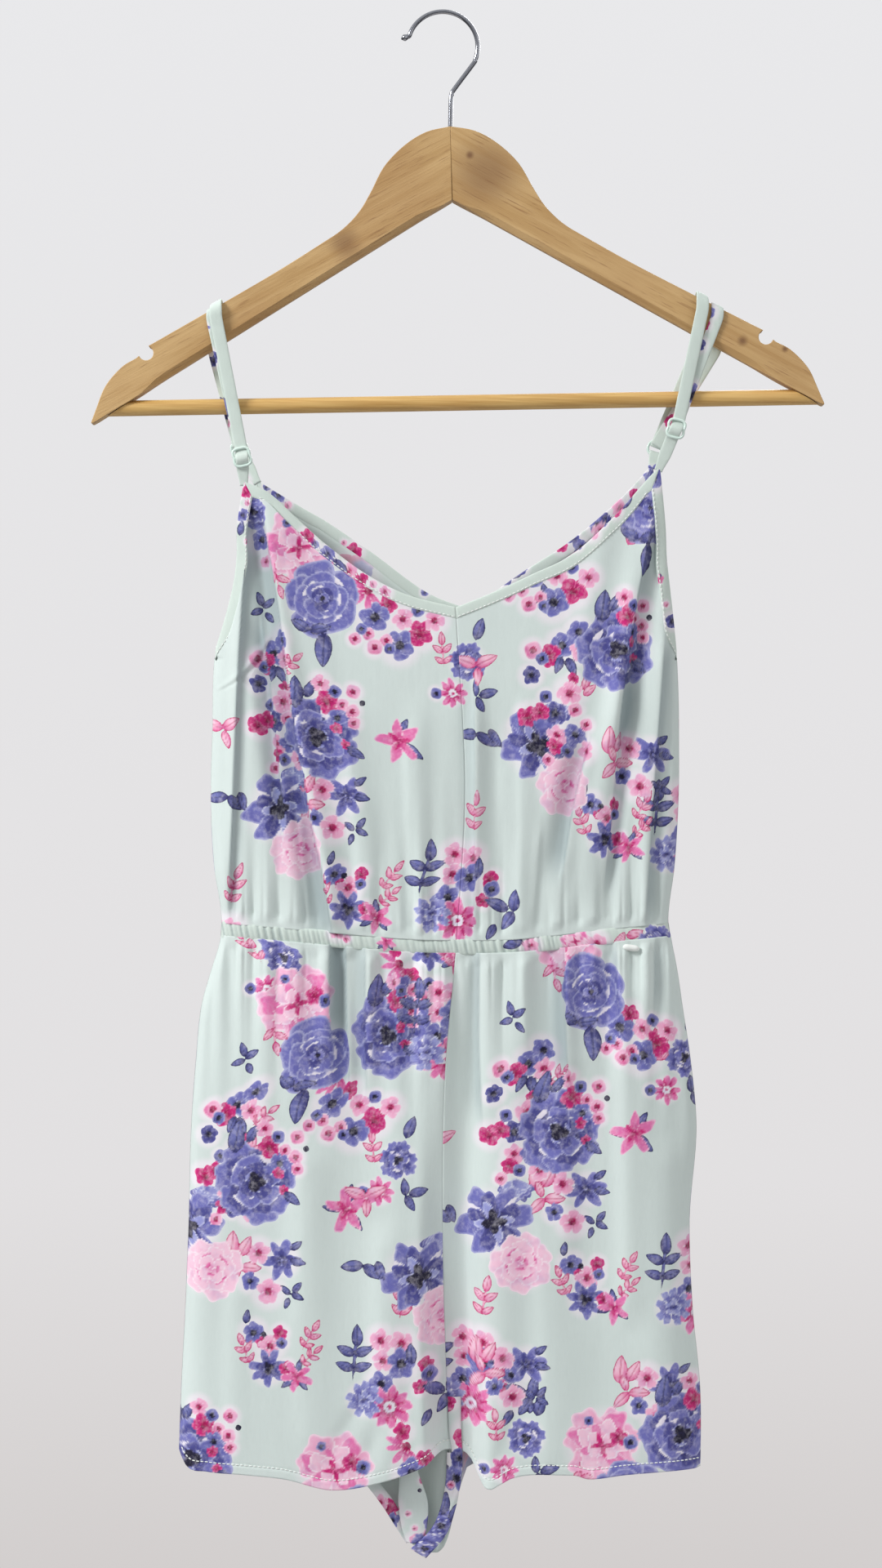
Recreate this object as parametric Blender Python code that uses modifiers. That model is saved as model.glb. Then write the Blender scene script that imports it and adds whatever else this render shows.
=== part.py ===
"""Strappy romper hanging on a wooden hanger.

The romper is cut as a two-piece bodice front, a one-piece back, an elastic
waist casing and four shorts panels.  Narrow bindings finish the neck and the
armholes, and doubled straps with plastic sliders carry it on the hanger.
Every cloth piece is an open grid laid on the garment's outer face and given
its wall by Solidify.

Frame: +Z up, -Y is the garment's front, and the origin is the inside top of
the hook, where a rail carries it.  Sizes are millimetres until they enter a
mesh, which is in metres.  "drop" is the distance below the origin.
"""

import math
from functools import lru_cache

import bmesh
import bpy
import numpy as np
from mathutils import Matrix, Vector

MM = 0.001

# ---------------------------------------------------------------- cloth
WALL = 1.2              # thickness of a cloth wall
SEAM_GAP = 0.3          # clear gap between neighbouring pieces
BINDING_GAP = 0.6       # the same where a seam turns over the curve of a side
BINDING_WIDTH = 7.0     # finished width of the neck and armhole bindings
WAIST_HEIGHT = 10.5     # height of the elastic waist casing
WAIST_WALL = 2.4        # casing wall, elastic included
STRAP_WIDTH = 7.8
STRAP_WALL = 1.2
STRAP_CLEAR = 0.8       # between a strap and the wood or strap under it

# ---------------------------------------------------------------- hanger
HANGER_HALF = 222.4     # centre line to tip
HANGER_CENTRE = 2.4     # centre line beside the origin, in the hanger's frame
HANGER_TILT = math.radians(1.47)
ARM_DEPTH = 12.0        # thickness of the wood, front to back
ARM_ROUND = 2.6         # rounding of the arms' edges
NOTCH_RADIUS = 4.5
NOTCH_START = 110.0     # angle where the arm's edge enters the notch, in degrees
NOTCH_SWEEP = 230.0
NOTCH_OUT = 187.6       # centre line to the strap notch
NOTCH_DROP = 201.6
BAR_RADIUS = 4.75
BAR_DROP = (234.0, 238.0)   # left and right end of the bar
WIRE_RADIUS = 1.4
HOOK_RADIUS = 21.3      # centre line of the wire
HOOK_CENTRE = (-0.5, 19.9)
# How the wire leaves the wood and leans over before its ring.
HOOK_STEM = (
    # right of the stem's foot, drop
    (0.4, 52.0),
    (0.9, 48.6),
    (2.4, 45.6),
)
HOOK_START = -28.0      # angle of the ring's first point, in degrees
HOOK_SWEEP = 190.0
BALL_SWELLS = (1.0, 1.3, 1.45, 1.3, 0.9)    # wire radii along the small ball end
BALL_STEP = (-0.9, -0.35)

# Upper edge of one arm, from the centre line outwards.
ARM_TOP = (
    # out, drop
    (0.0, 69.3),
    (14.9, 72.4),
    (28.5, 80.4),
    (40.8, 92.7),
    (49.0, 107.5),
    (56.5, 119.5),
    (66.9, 129.9),
    (80.5, 138.6),
    (109.0, 155.5),
    (146.0, 175.8),
    (181.5, 195.0),
)
# Outer end of one arm, from the notch round the tip and back under it.
ARM_END = (
    # out, drop
    (193.5, 204.6),
    (202.6, 209.9),
    (212.7, 221.1),
    (219.1, 235.8),
    (222.4, 243.0),
    (210.8, 237.5),
    (198.2, 230.4),
)
ARM_INNER_DROP = 113.6  # under the centre joint

# ---------------------------------------------------------------- garment
# Half widths and depths of the body, front and back, from underarm to hem.
BODY = (
    # drop, left, right, front depth, back depth
    (270.0, 121.0, 131.0, 7.0, 5.5),
    (330.0, 125.5, 135.5, 8.5, 6.5),
    (385.0, 138.2, 141.2, 11.0, 8.0),
    (437.0, 140.2, 142.8, 12.5, 9.0),
    (474.0, 141.2, 142.6, 12.5, 9.0),
    (516.0, 139.2, 140.2, 11.5, 9.0),
    (550.0, 134.6, 136.3, 10.5, 8.5),
    (561.0, 135.3, 138.2, 10.5, 8.5),
    (581.0, 141.2, 142.0, 12.0, 9.0),
    (601.0, 146.7, 144.9, 13.0, 9.5),
    (635.0, 150.2, 150.0, 14.0, 10.0),
    (675.0, 153.0, 153.4, 14.5, 10.0),
    (734.0, 154.6, 149.2, 15.0, 10.5),
    (784.0, 156.6, 151.1, 15.5, 11.0),
    (834.0, 159.1, 155.7, 16.0, 11.0),
    (887.0, 161.0, 155.8, 16.0, 11.0),
)
UNDERARM_DROP = 385.0
SIDE_DEPTH = 1.6        # outer face to middle plane beside the side seams
CORNER_DEPTH = 5.4      # how much further the strap corners stand off it
CORNER_FROM = 290.0     # drop down to which they keep that depth
BACK_CORNER_SHARE = 0.85    # the back's corners stand off less
CROWN_POWER = 6         # how square the body's cross section is
TURN_LENGTH = 20.0      # how soon the armhole binding turns under the arm
UNDERARM_EASE = 6.0     # how much wider the gap under the binding is there
UNDERARM_CLEAR = 0.55   # side seam to middle plane at the underarm itself
CENTRE_SEAM = (
    # drop, across
    (360.0, 7.4),
    (470.0, 13.0),
    (560.0, 8.0),
    (640.0, 1.0),
    (734.0, -0.5),
    (887.0, 4.0),
)
# Upper outline of the front, from the left underarm to the right one.
FRONT_ARMHOLE_LEFT = (
    # across, drop
    (-138.2, 385.0),
    (-132.8, 367.7),
    (-127.8, 347.8),
    (-125.4, 330.0),
    (-124.9, 310.0),
    (-120.8, 283.6),
)
FRONT_NECK_LEFT = (
    (-120.8, 283.6),
    (-105.5, 290.9),
    (-90.7, 304.2),
    (-70.9, 322.1),
    (-46.1, 340.4),
    (-21.3, 352.8),
    (7.4, 360.2),
)
FRONT_NECK_RIGHT = (
    (131.0, 274.8),
    (122.4, 283.4),
    (102.6, 305.7),
    (77.8, 328.0),
    (53.0, 340.4),
    (28.2, 351.8),
    (7.4, 360.2),
)
FRONT_ARMHOLE_RIGHT = (
    (141.2, 385.0),
    (139.6, 367.7),
    (137.3, 347.8),
    (135.3, 330.0),
    (134.4, 310.0),
    (131.0, 274.8),
)
# The back follows the front, with a shallower neckline.
BACK_ARMHOLE_LEFT = (
    (-138.2, 385.0),
    (-131.5, 366.0),
    (-126.0, 346.0),
    (-122.5, 325.0),
    (-118.5, 300.0),
    (-114.5, 281.5),
)
BACK_NECK_LEFT = (
    (-114.5, 281.5),
    (-105.5, 287.0),
    (-85.7, 299.0),
    (-70.9, 307.5),
    (-43.6, 326.0),
    (-11.4, 349.5),
    (15.0, 360.5),
)
BACK_NECK_RIGHT = (
    (127.3, 272.0),
    (107.5, 293.3),
    (77.8, 318.6),
    (48.1, 337.9),
    (28.2, 351.8),
    (15.0, 360.5),
)
BACK_ARMHOLE_RIGHT = (
    (141.2, 385.0),
    (138.5, 366.0),
    (135.5, 346.0),
    (133.0, 325.0),
    (130.5, 300.0),
    (127.3, 272.0),
)
WAIST_LEVEL = 550.0     # where the casing's ends are read in the body's table
WAIST_HALF = 137.0      # half width of the casing
WAIST_MIDDLE = 8.0      # where the centre seams meet it
CASING_PROUD = 0.6      # how far the casing stands off the body's form
HEM_LEVEL = 880.0       # where the hem's ends are read in the body's table
WAIST_TOP = (
    # across, drop
    (-136.0, 549.6),
    (-70.9, 555.0),
    (-21.3, 559.2),
    (8.4, 559.9),
    (38.2, 559.6),
    (67.9, 557.0),
    (97.6, 553.6),
    (138.0, 549.8),
)
FRONT_HEM = (
    # across, drop
    (-162.0, 868.0),
    (-155.0, 879.0),
    (-142.7, 881.5),
    (-120.4, 883.0),
    (-95.6, 885.5),
    (-66.0, 892.0),
    (-36.2, 887.0),
    (-12.0, 878.0),
    (2.0, 870.0),
    (16.0, 874.0),
    (20.5, 883.0),
    (24.0, 890.0),
    (28.0, 891.5),
    (33.0, 889.0),
    (42.0, 884.5),
    (77.8, 883.0),
    (88.0, 885.5),
    (110.0, 883.0),
    (160.0, 880.0),
)
BACK_HEM = (
    (-162.0, 868.0),
    (-150.0, 876.0),
    (-100.0, 880.0),
    (-55.0, 886.0),
    (-38.0, 905.0),
    (-22.0, 928.0),
    (-8.0, 935.0),
    (2.0, 926.0),
    (9.0, 897.0),
    (16.0, 880.0),
    (100.0, 880.0),
    (160.0, 876.0),
)
CROTCH_DROP = 834.0
PINCH_FROM = 640.0      # drop where the fold into the crotch begins
PINCH_REACH = 14.3      # half width of that fold
PINCH_SHIFT = 4.0       # how far right of the centre seam it lies

# Where along its own line a fold fades in and out again.
FOLD_FADE_IN = (-0.12, 0.15)
FOLD_FADE_OUT = (0.82, 1.12)
# Largest folds of the front.  Each is a soft ridge, or a trough if negative.
FRONT_FOLDS = (
    # across at top, drop at top, across at bottom, drop at bottom, width, height
    (-110.5, 300.0, -66.0, 549.0, 6.0, 2.6),
    (-117.0, 320.0, -128.0, 540.0, 5.0, 1.8),
    (-111.5, 310.0, -98.0, 500.0, 5.0, -1.8),
    (-100.0, 300.0, -40.0, 520.0, 9.0, 1.6),
    (-16.0, 420.0, -12.0, 552.0, 7.0, 1.4),
    (19.0, 410.0, 19.5, 552.0, 5.0, 2.0),
    (30.0, 440.0, 31.0, 552.0, 6.0, -1.4),
    (100.0, 300.0, 60.0, 500.0, 9.0, 1.4),
    (129.0, 290.0, 79.0, 548.0, 7.0, 2.4),
    (121.0, 310.0, 104.0, 490.0, 5.0, -1.8),
    (134.0, 330.0, 129.0, 545.0, 4.0, 1.4),
    (-92.0, 572.0, -78.0, 800.0, 14.0, 2.4),
    (-60.0, 572.0, -46.0, 700.0, 10.0, -2.0),
    (-22.0, 572.0, -30.0, 860.0, 16.0, 2.2),
    (-6.0, 572.0, -8.0, 880.0, 9.0, 2.6),
    (14.0, 600.0, 12.0, 892.0, 10.0, -4.5),
    (44.0, 572.0, 30.0, 885.0, 12.0, 2.6),
    (71.0, 572.0, 74.0, 760.0, 8.0, 2.4),
    (85.0, 572.0, 96.0, 880.0, 16.0, -1.6),
    (119.0, 572.0, 128.0, 840.0, 12.0, 2.0),
)
BACK_FOLDS = (
    (-106.0, 305.0, -70.0, 549.0, 8.0, 2.0),
    (112.0, 305.0, 76.0, 549.0, 8.0, 2.0),
    (-30.0, 380.0, -26.0, 552.0, 10.0, 1.5),
    (46.0, 380.0, 40.0, 552.0, 10.0, 1.5),
    (-100.0, 572.0, -112.0, 850.0, 15.0, 2.4),
    (-58.0, 572.0, -60.0, 800.0, 12.0, -1.8),
    (-20.0, 572.0, -24.0, 780.0, 10.0, 2.2),
    (30.0, 572.0, 34.0, 800.0, 10.0, 2.2),
    (66.0, 572.0, 70.0, 860.0, 14.0, -1.8),
    (108.0, 572.0, 116.0, 850.0, 15.0, 2.4),
)
GATHER_PITCH = 17.0
GATHER_HEIGHT = 1.5
GATHER_DRIFT = (0.35, 21.0)     # share and length of the pitch's own drift
GATHER_BACK_SHIFT = 6.0     # the back's ripples lie beside the front's
GATHER_RISE = 46.0      # how far the gathers run into the bodice
GATHER_FALL = 60.0      # how far they run down the shorts

# Grid rows and columns, as shares of a panel.
UNDERARM_ROW = 0.60     # share of a bodice panel's rows that lie under the arm
BODICE_ROWS = (0.0, 0.04, 0.10, 0.18, 0.30, 0.45, 0.60)
ARMHOLE_SHARES = (0.15, 0.32, 0.49, 0.66, 0.83, 1.0)
SHORTS_ROWS = (0.0, 0.05, 0.12, 0.24, 0.42, 0.62, 0.82, 1.0)
FRONT_COLUMNS = 32
BACK_COLUMNS = 24       # from side to middle
SHORTS_FRONT_COLUMNS = 34
SHORTS_BACK_COLUMNS = 26
WAISTBAND_COLUMNS = 38
SIDE_SHARES = (0.0, 0.006, 0.016, 0.034)    # first columns beside a side seam
CENTRE_SHARE = 0.010    # last column's step from the centre seam

# ---------------------------------------------------------------- straps
LEFT_SLIDER = (-121.7, 269.6)
RIGHT_SLIDER = (140.4, 252.4)
LEFT_RING = (-124.5, 262.5)
RIGHT_RING = (129.3, 262.5)
SLIDER_SIZE = (12.0, 12.6)      # width and height
SLIDER_WALL = 1.6
SLIDER_RAIL = 1.7
SLIDER_ROUND = 3.0      # radius of its corners
WINDOW_ROUND = 1.2
RING_RADIUS = 5.6
LEFT_STRAPS_OUT = (144.5, 146.6)    # where the two strands cross the arm
RIGHT_STRAPS_OUT = (149.6, 158.6)
STRAP_LEAN = math.radians(13.5)
ARM_SLOPE = math.radians(28.1)
MAIN_DEPTH = 7.9        # main strand from the middle plane, beside the slider
RETURN_DEPTH = 6.2      # return strand, between the main one and the bar
STRAP_UNTWIST = (12.0, 60.0)    # past the arm's top, where the strap turns to its lean
SEWN_TAPER = 0.45       # share of the width taken in at a sewn end
SEWN_LENGTH = 12.0
SEWN_CLEAR = 0.1        # sewn end above the bindings' corner
LONG_STRETCH = 0.08     # share of a strap past which a straight run is divided

CLOTH = (0.62, 0.74, 0.70)
TRIM = (0.56, 0.72, 0.66)
WOOD = (0.52, 0.31, 0.13)
BAR_WOOD = (0.60, 0.42, 0.16)
PLASTIC = (0.66, 0.80, 0.72)
STEEL = (0.72, 0.73, 0.75)


# ------------------------------------------------------------ small tools
def clear_scene():
    """Remove every object that the new file starts with."""
    for obj in list(bpy.data.objects):
        bpy.data.objects.remove(obj, do_unlink=True)


def make_collection(name):
    """Make a collection and link it to the scene."""
    collection = bpy.data.collections.new(name)
    bpy.context.scene.collection.children.link(collection)
    return collection


def make_material(name, colour, roughness, metallic=0.0):
    """Make a Principled material of one colour."""
    material = bpy.data.materials.new(name)
    material.use_nodes = True
    shader = material.node_tree.nodes["Principled BSDF"]
    shader.inputs["Base Color"].default_value = (*colour, 1.0)
    shader.inputs["Roughness"].default_value = roughness
    shader.inputs["Metallic"].default_value = metallic
    return material


def smooth_table(rows, value, column=1):
    """Read a table's column at a value of its first one, on a smooth curve."""
    rows = sorted(rows)
    places = np.array([row[0] for row in rows])
    heights = np.array([row[column] for row in rows])
    value = min(max(value, places[0]), places[-1])
    steps = np.diff(heights) / np.diff(places)
    slopes = np.concatenate(([steps[0]], steps, [steps[-1]]))
    i = min(int(np.searchsorted(places, value, side="right")) - 1, len(places) - 2)
    span = places[i + 1] - places[i]
    t = (value - places[i]) / span
    start = 0.0 if slopes[i] * slopes[i + 1] <= 0 else 0.5 * (slopes[i] + slopes[i + 1])
    stop = 0.0 if slopes[i + 1] * slopes[i + 2] <= 0 else 0.5 * (slopes[i + 1] + slopes[i + 2])
    rise = (2 * t**3 - 3 * t**2 + 1) * heights[i] + (3 * t**2 - 2 * t**3) * heights[i + 1]
    return float(rise + span * ((t**3 - 2 * t**2 + t) * start + (t**3 - t**2) * stop))


def ease(value, low, high):
    """Rise smoothly from 0 at low to 1 at high."""
    t = min(max((value - low) / (high - low), 0.0), 1.0)
    return t * t * (3.0 - 2.0 * t)


class Outline:
    """A smooth open curve through rows of (across, drop), read by its share."""

    def __init__(self, rows):
        points = np.array(rows, dtype=float)
        padded = np.vstack((2 * points[0] - points[1], points, 2 * points[-1] - points[-2]))
        fine = []
        for i in range(1, len(points)):
            before, start, stop, after = padded[i - 1:i + 3]
            for t in np.arange(0.0, 1.0, 0.05):
                fine.append(0.5 * (2 * start + (stop - before) * t
                                   + (2 * before - 5 * start + 4 * stop - after) * t**2
                                   + (3 * start - before - 3 * stop + after) * t**3))
        fine.append(points[-1])
        self.points = np.array(fine)
        lengths = np.linalg.norm(np.diff(self.points, axis=0), axis=1)
        self.along = np.concatenate(([0.0], np.cumsum(lengths)))
        self.length = self.along[-1]

    def at(self, share):
        """Return (across, drop) at a share of the length."""
        place = share * self.length
        return np.array([np.interp(place, self.along, self.points[:, k]) for k in (0, 1)])

    def direction(self, share):
        """Return the unit direction of travel at a share of the length."""
        step = self.at(min(share + 0.01, 1.0)) - self.at(max(share - 0.01, 0.0))
        return step / np.linalg.norm(step)


class BoundEdge:
    """A panel's edge and the strip of binding inside it."""

    def __init__(self, rows, inside, lead, trail, slack=0.0):
        """inside is 1 where the cloth lies left of the direction of travel, as
        seen with drops running down, or -1.  lead and trail are the steps into
        the panel at the two ends, and slack widens the gap at the first."""
        self.edge = Outline(rows)
        self.slack = slack
        self.inside = inside
        self.lead = lead
        self.trail = trail

    def place(self, share, width):
        """Return (across, drop), width times the binding inside the edge."""
        ahead, inward = self.ways(share)
        start_ahead, start_inward = self.ways(0.0)
        stop_ahead = self.ways(1.0)[0]
        slide = (1.0 - share) * self.lead.dot(start_ahead) + share * self.trail.dot(stop_ahead)
        turn = 1.0 - ease(share * self.edge.length, 0.0, TURN_LENGTH)
        reach = BINDING_WIDTH + (self.lead.dot(start_inward) - BINDING_WIDTH) * turn
        return self.edge.at(share) + (ahead * slide + inward * reach) * width

    def ways(self, share):
        """Unit directions along the edge and into the panel."""
        ahead = self.edge.direction(share)
        return ahead, np.array([-ahead[1], ahead[0]]) * self.inside

    def panel_edge(self, share):
        """Return (across, drop) of the panel's own edge beside the binding."""
        turn = 1.0 - ease(share * self.edge.length, 0.0, TURN_LENGTH)
        gap = BINDING_GAP * (1.0 + self.slack * turn)
        return self.place(share, 1.0 + gap / BINDING_WIDTH)


def corner_step(corner, first, second, hollow=False):
    """Step from a corner to where two strips of binding meet inside it."""
    corner = np.array(corner)
    ways = [np.array(place) - corner for place in (first, second)]
    ways = [way / np.linalg.norm(way) for way in ways]
    middle = (ways[0] + ways[1]) / np.linalg.norm(ways[0] + ways[1])
    half = math.acos(float(np.dot(middle, ways[0])))
    return middle * BINDING_WIDTH / math.sin(half) * (-1.0 if hollow else 1.0)


# ------------------------------------------------------- the garment's form
def gather_wave(across, drop):
    """Uneven ripples that the waist elastic draws up, above and below it."""
    line = smooth_table(WAIST_TOP, across)
    below = drop - line - WAIST_HEIGHT
    above = line - drop
    if above >= 0.0:
        strength = math.exp(-((above / GATHER_RISE) ** 1.5))
    else:
        strength = math.exp(-((max(below, 0.0) / GATHER_FALL) ** 1.5))
    drift, drift_length = GATHER_DRIFT
    phase = across / GATHER_PITCH + drift * math.sin(across / drift_length)
    return GATHER_HEIGHT * strength * math.cos(2.0 * math.pi * phase)


def fold_height(folds, across, drop):
    """Sum of the soft ridges and troughs that pass near a place."""
    height = 0.0
    for top_across, top_drop, low_across, low_drop, width, tall in folds:
        t = (drop - top_drop) / (low_drop - top_drop)
        if FOLD_FADE_IN[0] < t < FOLD_FADE_OUT[1]:
            line = top_across + (low_across - top_across) * min(max(t, 0.0), 1.0)
            fade = ease(t, *FOLD_FADE_IN) * (1.0 - ease(t, *FOLD_FADE_OUT))
            height += tall * fade * math.exp(-(((across - line) / width) ** 2))
    return height


def centre_pinch(across, drop):
    """Share of the depth that is left beside the inseam, 0 on the seam."""
    seam = smooth_table(CENTRE_SEAM, drop)
    reach = ease(drop, PINCH_FROM, CROTCH_DROP)
    near = math.exp(-(((across - seam - PINCH_SHIFT) / PINCH_REACH) ** 4))
    return 1.0 - reach * near


def body_depth(across, drop, back):
    """Depth of the outer face from the middle plane, in front or behind."""
    left = smooth_table(BODY, drop, 1)
    right = smooth_table(BODY, drop, 2)
    full = smooth_table(BODY, drop, 4 if back else 3)
    share = min(max((across + left) / (left + right), 0.0), 1.0)
    crown = math.sqrt(max(1.0 - abs(2.0 * share - 1.0) ** CROWN_POWER, 0.0))
    edge = SIDE_DEPTH + CORNER_DEPTH * (1.0 - ease(drop, CORNER_FROM, UNDERARM_DROP))
    edge *= BACK_CORNER_SHARE if back else 1.0
    folds = BACK_FOLDS if back else FRONT_FOLDS
    relief = fold_height(folds, across, drop)
    relief += gather_wave(across + (GATHER_BACK_SHIFT if back else 0.0), drop)
    flat = edge + (full - edge) * crown + relief * min(4.0 * crown * crown, 1.0)
    return max(SIDE_DEPTH + (flat - SIDE_DEPTH) * centre_pinch(across, drop), SIDE_DEPTH)


def body_point(across, drop, back, on_seam=False):
    """Point on the garment's outer face, or on the side seam itself."""
    if on_seam:
        near = 1.0 - ease(drop, UNDERARM_DROP + BINDING_WIDTH, UNDERARM_DROP + 3 * BINDING_WIDTH)
        depth = SEAM_GAP / 2 + (UNDERARM_CLEAR - SEAM_GAP / 2) * near
    else:
        depth = body_depth(across, drop, back)
    return Vector((across, depth if back else -depth, -drop))


def panel_columns(count):
    """Shares of a panel's columns, crowded beside both of its seams."""
    start = SIDE_SHARES[-1]
    middle = [start + (1.0 - start) * k / count for k in range(1, count)]
    return list(SIDE_SHARES) + middle + [1.0 - CENTRE_SHARE, 1.0]


def turned(share):
    """Share across a panel whose second column stands straight on its seam."""
    return max(share - SIDE_SHARES[1], 0.0) / (1.0 - SIDE_SHARES[1])


def bodice_rows():
    """Shares up a bodice panel; the upper rows keep step with the armhole."""
    above = [UNDERARM_ROW + (1.0 - UNDERARM_ROW) * share for share in ARMHOLE_SHARES]
    return list(BODICE_ROWS) + above


@lru_cache
def bound_edges(back):
    """The four bound edges of the front or the back: {side: (armhole, neck)}."""
    outlines = {
        (-1, False): (FRONT_ARMHOLE_LEFT, FRONT_NECK_LEFT),
        (1, False): (FRONT_ARMHOLE_RIGHT, FRONT_NECK_RIGHT),
        (-1, True): (BACK_ARMHOLE_LEFT, BACK_NECK_LEFT),
        (1, True): (BACK_ARMHOLE_RIGHT, BACK_NECK_RIGHT),
    }
    left_neck, right_neck = outlines[-1, back][1], outlines[1, back][1]
    dip = corner_step(left_neck[-1], left_neck[-2], right_neck[-2], hollow=True)
    edges = {}
    for side in (-1, 1):
        armhole, neck = outlines[side, back]
        corner = corner_step(neck[0], armhole[-2], neck[1])
        under = np.array([0.0, BINDING_WIDTH])
        edges[side] = (BoundEdge(armhole, -side, under, corner, slack=UNDERARM_EASE),
                       BoundEdge(neck, -side, corner, dip))
    return edges


def bodice_patch(side, back, share, rise):
    """Place in a four-sided patch: waist, side and armhole, neckline, middle."""
    armhole, neck = bound_edges(back)[side]
    seam_gap = 0.0 if back else side * SEAM_GAP / 2

    def foot(part):
        outer = side * smooth_table(BODY, WAIST_LEVEL, 1 if side < 0 else 2)
        across = outer + (WAIST_MIDDLE + seam_gap - outer) * part
        return np.array([across, smooth_table(WAIST_TOP, across) - SEAM_GAP])

    def outside(part):
        if part == 1.0:
            return neck.panel_edge(0.0)
        if part > UNDERARM_ROW:
            return armhole.panel_edge((part - UNDERARM_ROW) / (1.0 - UNDERARM_ROW))
        low, high = foot(0.0)[1], armhole.panel_edge(0.0)[1]
        drop = low + (high - low) * part / UNDERARM_ROW
        return np.array([side * smooth_table(BODY, drop, 1 if side < 0 else 2), drop])

    def middle(part):
        low, high = foot(1.0), neck.panel_edge(1.0)
        place = low + (high - low) * part
        if not back:
            place[0] = smooth_table(CENTRE_SEAM, place[1]) + seam_gap
        return place

    def top(part):
        return neck.panel_edge(part) + (middle(1.0) - neck.panel_edge(1.0)) * part ** 4

    corners = ((1.0 - share) * (1.0 - rise) * foot(0.0) + share * (1.0 - rise) * foot(1.0)
               + (1.0 - share) * rise * top(0.0) + share * rise * top(1.0))
    return ((1.0 - share) * outside(rise) + share * middle(rise)
            + (1.0 - rise) * foot(share) + rise * top(share) - corners)


def bodice_surface(side, back):
    """One half of the bodice's front or back."""

    def surface(share, rise):
        below = 1.0 - ease(rise, UNDERARM_ROW, UNDERARM_ROW + 0.06)
        inward = share + (turned(share) - share) * below
        across, drop = bodice_patch(side, back, inward, rise)
        return body_point(across, drop, back, on_seam=share == 0.0 and rise <= UNDERARM_ROW)

    return surface


def whole_back_surface():
    """The back in one piece, from side to side."""
    halves = {side: bodice_surface(side, back=True) for side in (-1, 1)}

    def surface(share, rise):
        side = -1 if share <= 0.5 else 1
        return halves[side](1.0 - abs(2.0 * share - 1.0), rise)

    return surface


def shorts_surface(side, back):
    """One quarter of the shorts, from the side seam to the centre seam."""
    hem = BACK_HEM if back else FRONT_HEM

    def across_at(share, drop):
        outer = side * smooth_table(BODY, drop, 1 if side < 0 else 2)
        seam = smooth_table(CENTRE_SEAM, drop) + side * BINDING_GAP / 2
        return outer + (seam - outer) * share

    def surface(share, fall):
        top_across = side * WAIST_HALF + (WAIST_MIDDLE - side * WAIST_HALF) * share
        top = smooth_table(WAIST_TOP, top_across) + WAIST_HEIGHT + 2.0 * SEAM_GAP
        drop = top + (smooth_table(hem, across_at(share, HEM_LEVEL)) - top) * fall
        return body_point(across_at(turned(share), drop), drop, back, on_seam=share == 0.0)

    return surface


def waistband_surface(back):
    """The casing between bodice and shorts, a little proud of both."""

    def surface(share, fall):
        level = WAIST_LEVEL + WAIST_HEIGHT * fall
        left = -smooth_table(BODY, level, 1)
        right = smooth_table(BODY, level, 2)
        inward = turned(1.0 - abs(2.0 * share - 1.0)) / 2.0
        along = inward if share <= 0.5 else 1.0 - inward
        across = left + (right - left) * along
        drop = smooth_table(WAIST_TOP, across) + WAIST_HEIGHT * fall
        crown = math.sqrt(max(1.0 - abs(2.0 * along - 1.0) ** CROWN_POWER, 0.0))
        full = smooth_table(BODY, level, 4 if back else 3) + CASING_PROUD
        side_depth = WAIST_WALL + SEAM_GAP
        depth = side_depth + (full - side_depth) * crown
        if share in (0.0, 1.0):
            depth = SEAM_GAP / 2
        return Vector((across, depth if back else -depth, -drop))

    return surface


def binding_surface(bound, back, starts_on_seam):
    """The strip inside one bound edge, a hair short of its mitred ends."""
    short = BINDING_GAP / bound.edge.length

    def surface(share, width):
        start = 0.0 if starts_on_seam else short
        across, drop = bound.place(min(max(share, start), 1.0 - short), width)
        return body_point(across, drop, back, on_seam=starts_on_seam and share == 0.0)

    return surface


# ------------------------------------------------------------ makers
def cloth_piece(name, surface, columns, rows, wall, material, collection, middle=False):
    """Lay a grid on a surface, read at shares of its two ways, with a wall."""
    grid = bmesh.new()
    bmesh.ops.create_grid(
        grid, x_segments=len(columns) - 1, y_segments=len(rows) - 1, size=0.5)
    for vert in grid.verts:
        column = columns[round((vert.co.x + 0.5) * (len(columns) - 1))]
        row = rows[round((vert.co.y + 0.5) * (len(rows) - 1))]
        vert.co = surface(column, row) * MM
    mesh = bpy.data.meshes.new(name)
    grid.to_mesh(mesh)
    grid.free()
    obj = bpy.data.objects.new(name, mesh)
    collection.objects.link(obj)
    mesh.materials.append(material)
    point_out(mesh, surface)
    wall_maker = obj.modifiers.new("wall", "SOLIDIFY")
    wall_maker.thickness = wall * MM
    wall_maker.offset = 0.0 if middle else -1.0
    wall_maker.use_even_offset = True
    wall_maker.thickness_clamp = 1.0
    mesh.shade_smooth()
    return obj


def point_out(mesh, surface):
    """Turn an open grid over if its faces point at the body's middle plane."""
    middle = surface(0.5, 0.5)
    lean = sum(polygon.normal.y * polygon.area for polygon in mesh.polygons)
    if lean * middle.y < 0.0:
        mesh.flip_normals()


def even_shares(count):
    """Shares of count equal steps."""
    return [k / count for k in range(count + 1)]


def mesh_from_curve(curve_object, name, collection):
    """Turn a curve object into a welded mesh object."""
    bpy.context.view_layer.update()
    evaluated = curve_object.evaluated_get(bpy.context.evaluated_depsgraph_get())
    mesh = bpy.data.meshes.new_from_object(evaluated)
    grid = bmesh.new()
    grid.from_mesh(mesh)
    bmesh.ops.remove_doubles(grid, verts=grid.verts, dist=0.00001)
    grid.to_mesh(mesh)
    grid.free()
    obj = bpy.data.objects.new(name, mesh)
    obj.matrix_world = curve_object.matrix_world.copy()
    collection.objects.link(obj)
    bpy.data.objects.remove(curve_object, do_unlink=True)
    return obj


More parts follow.
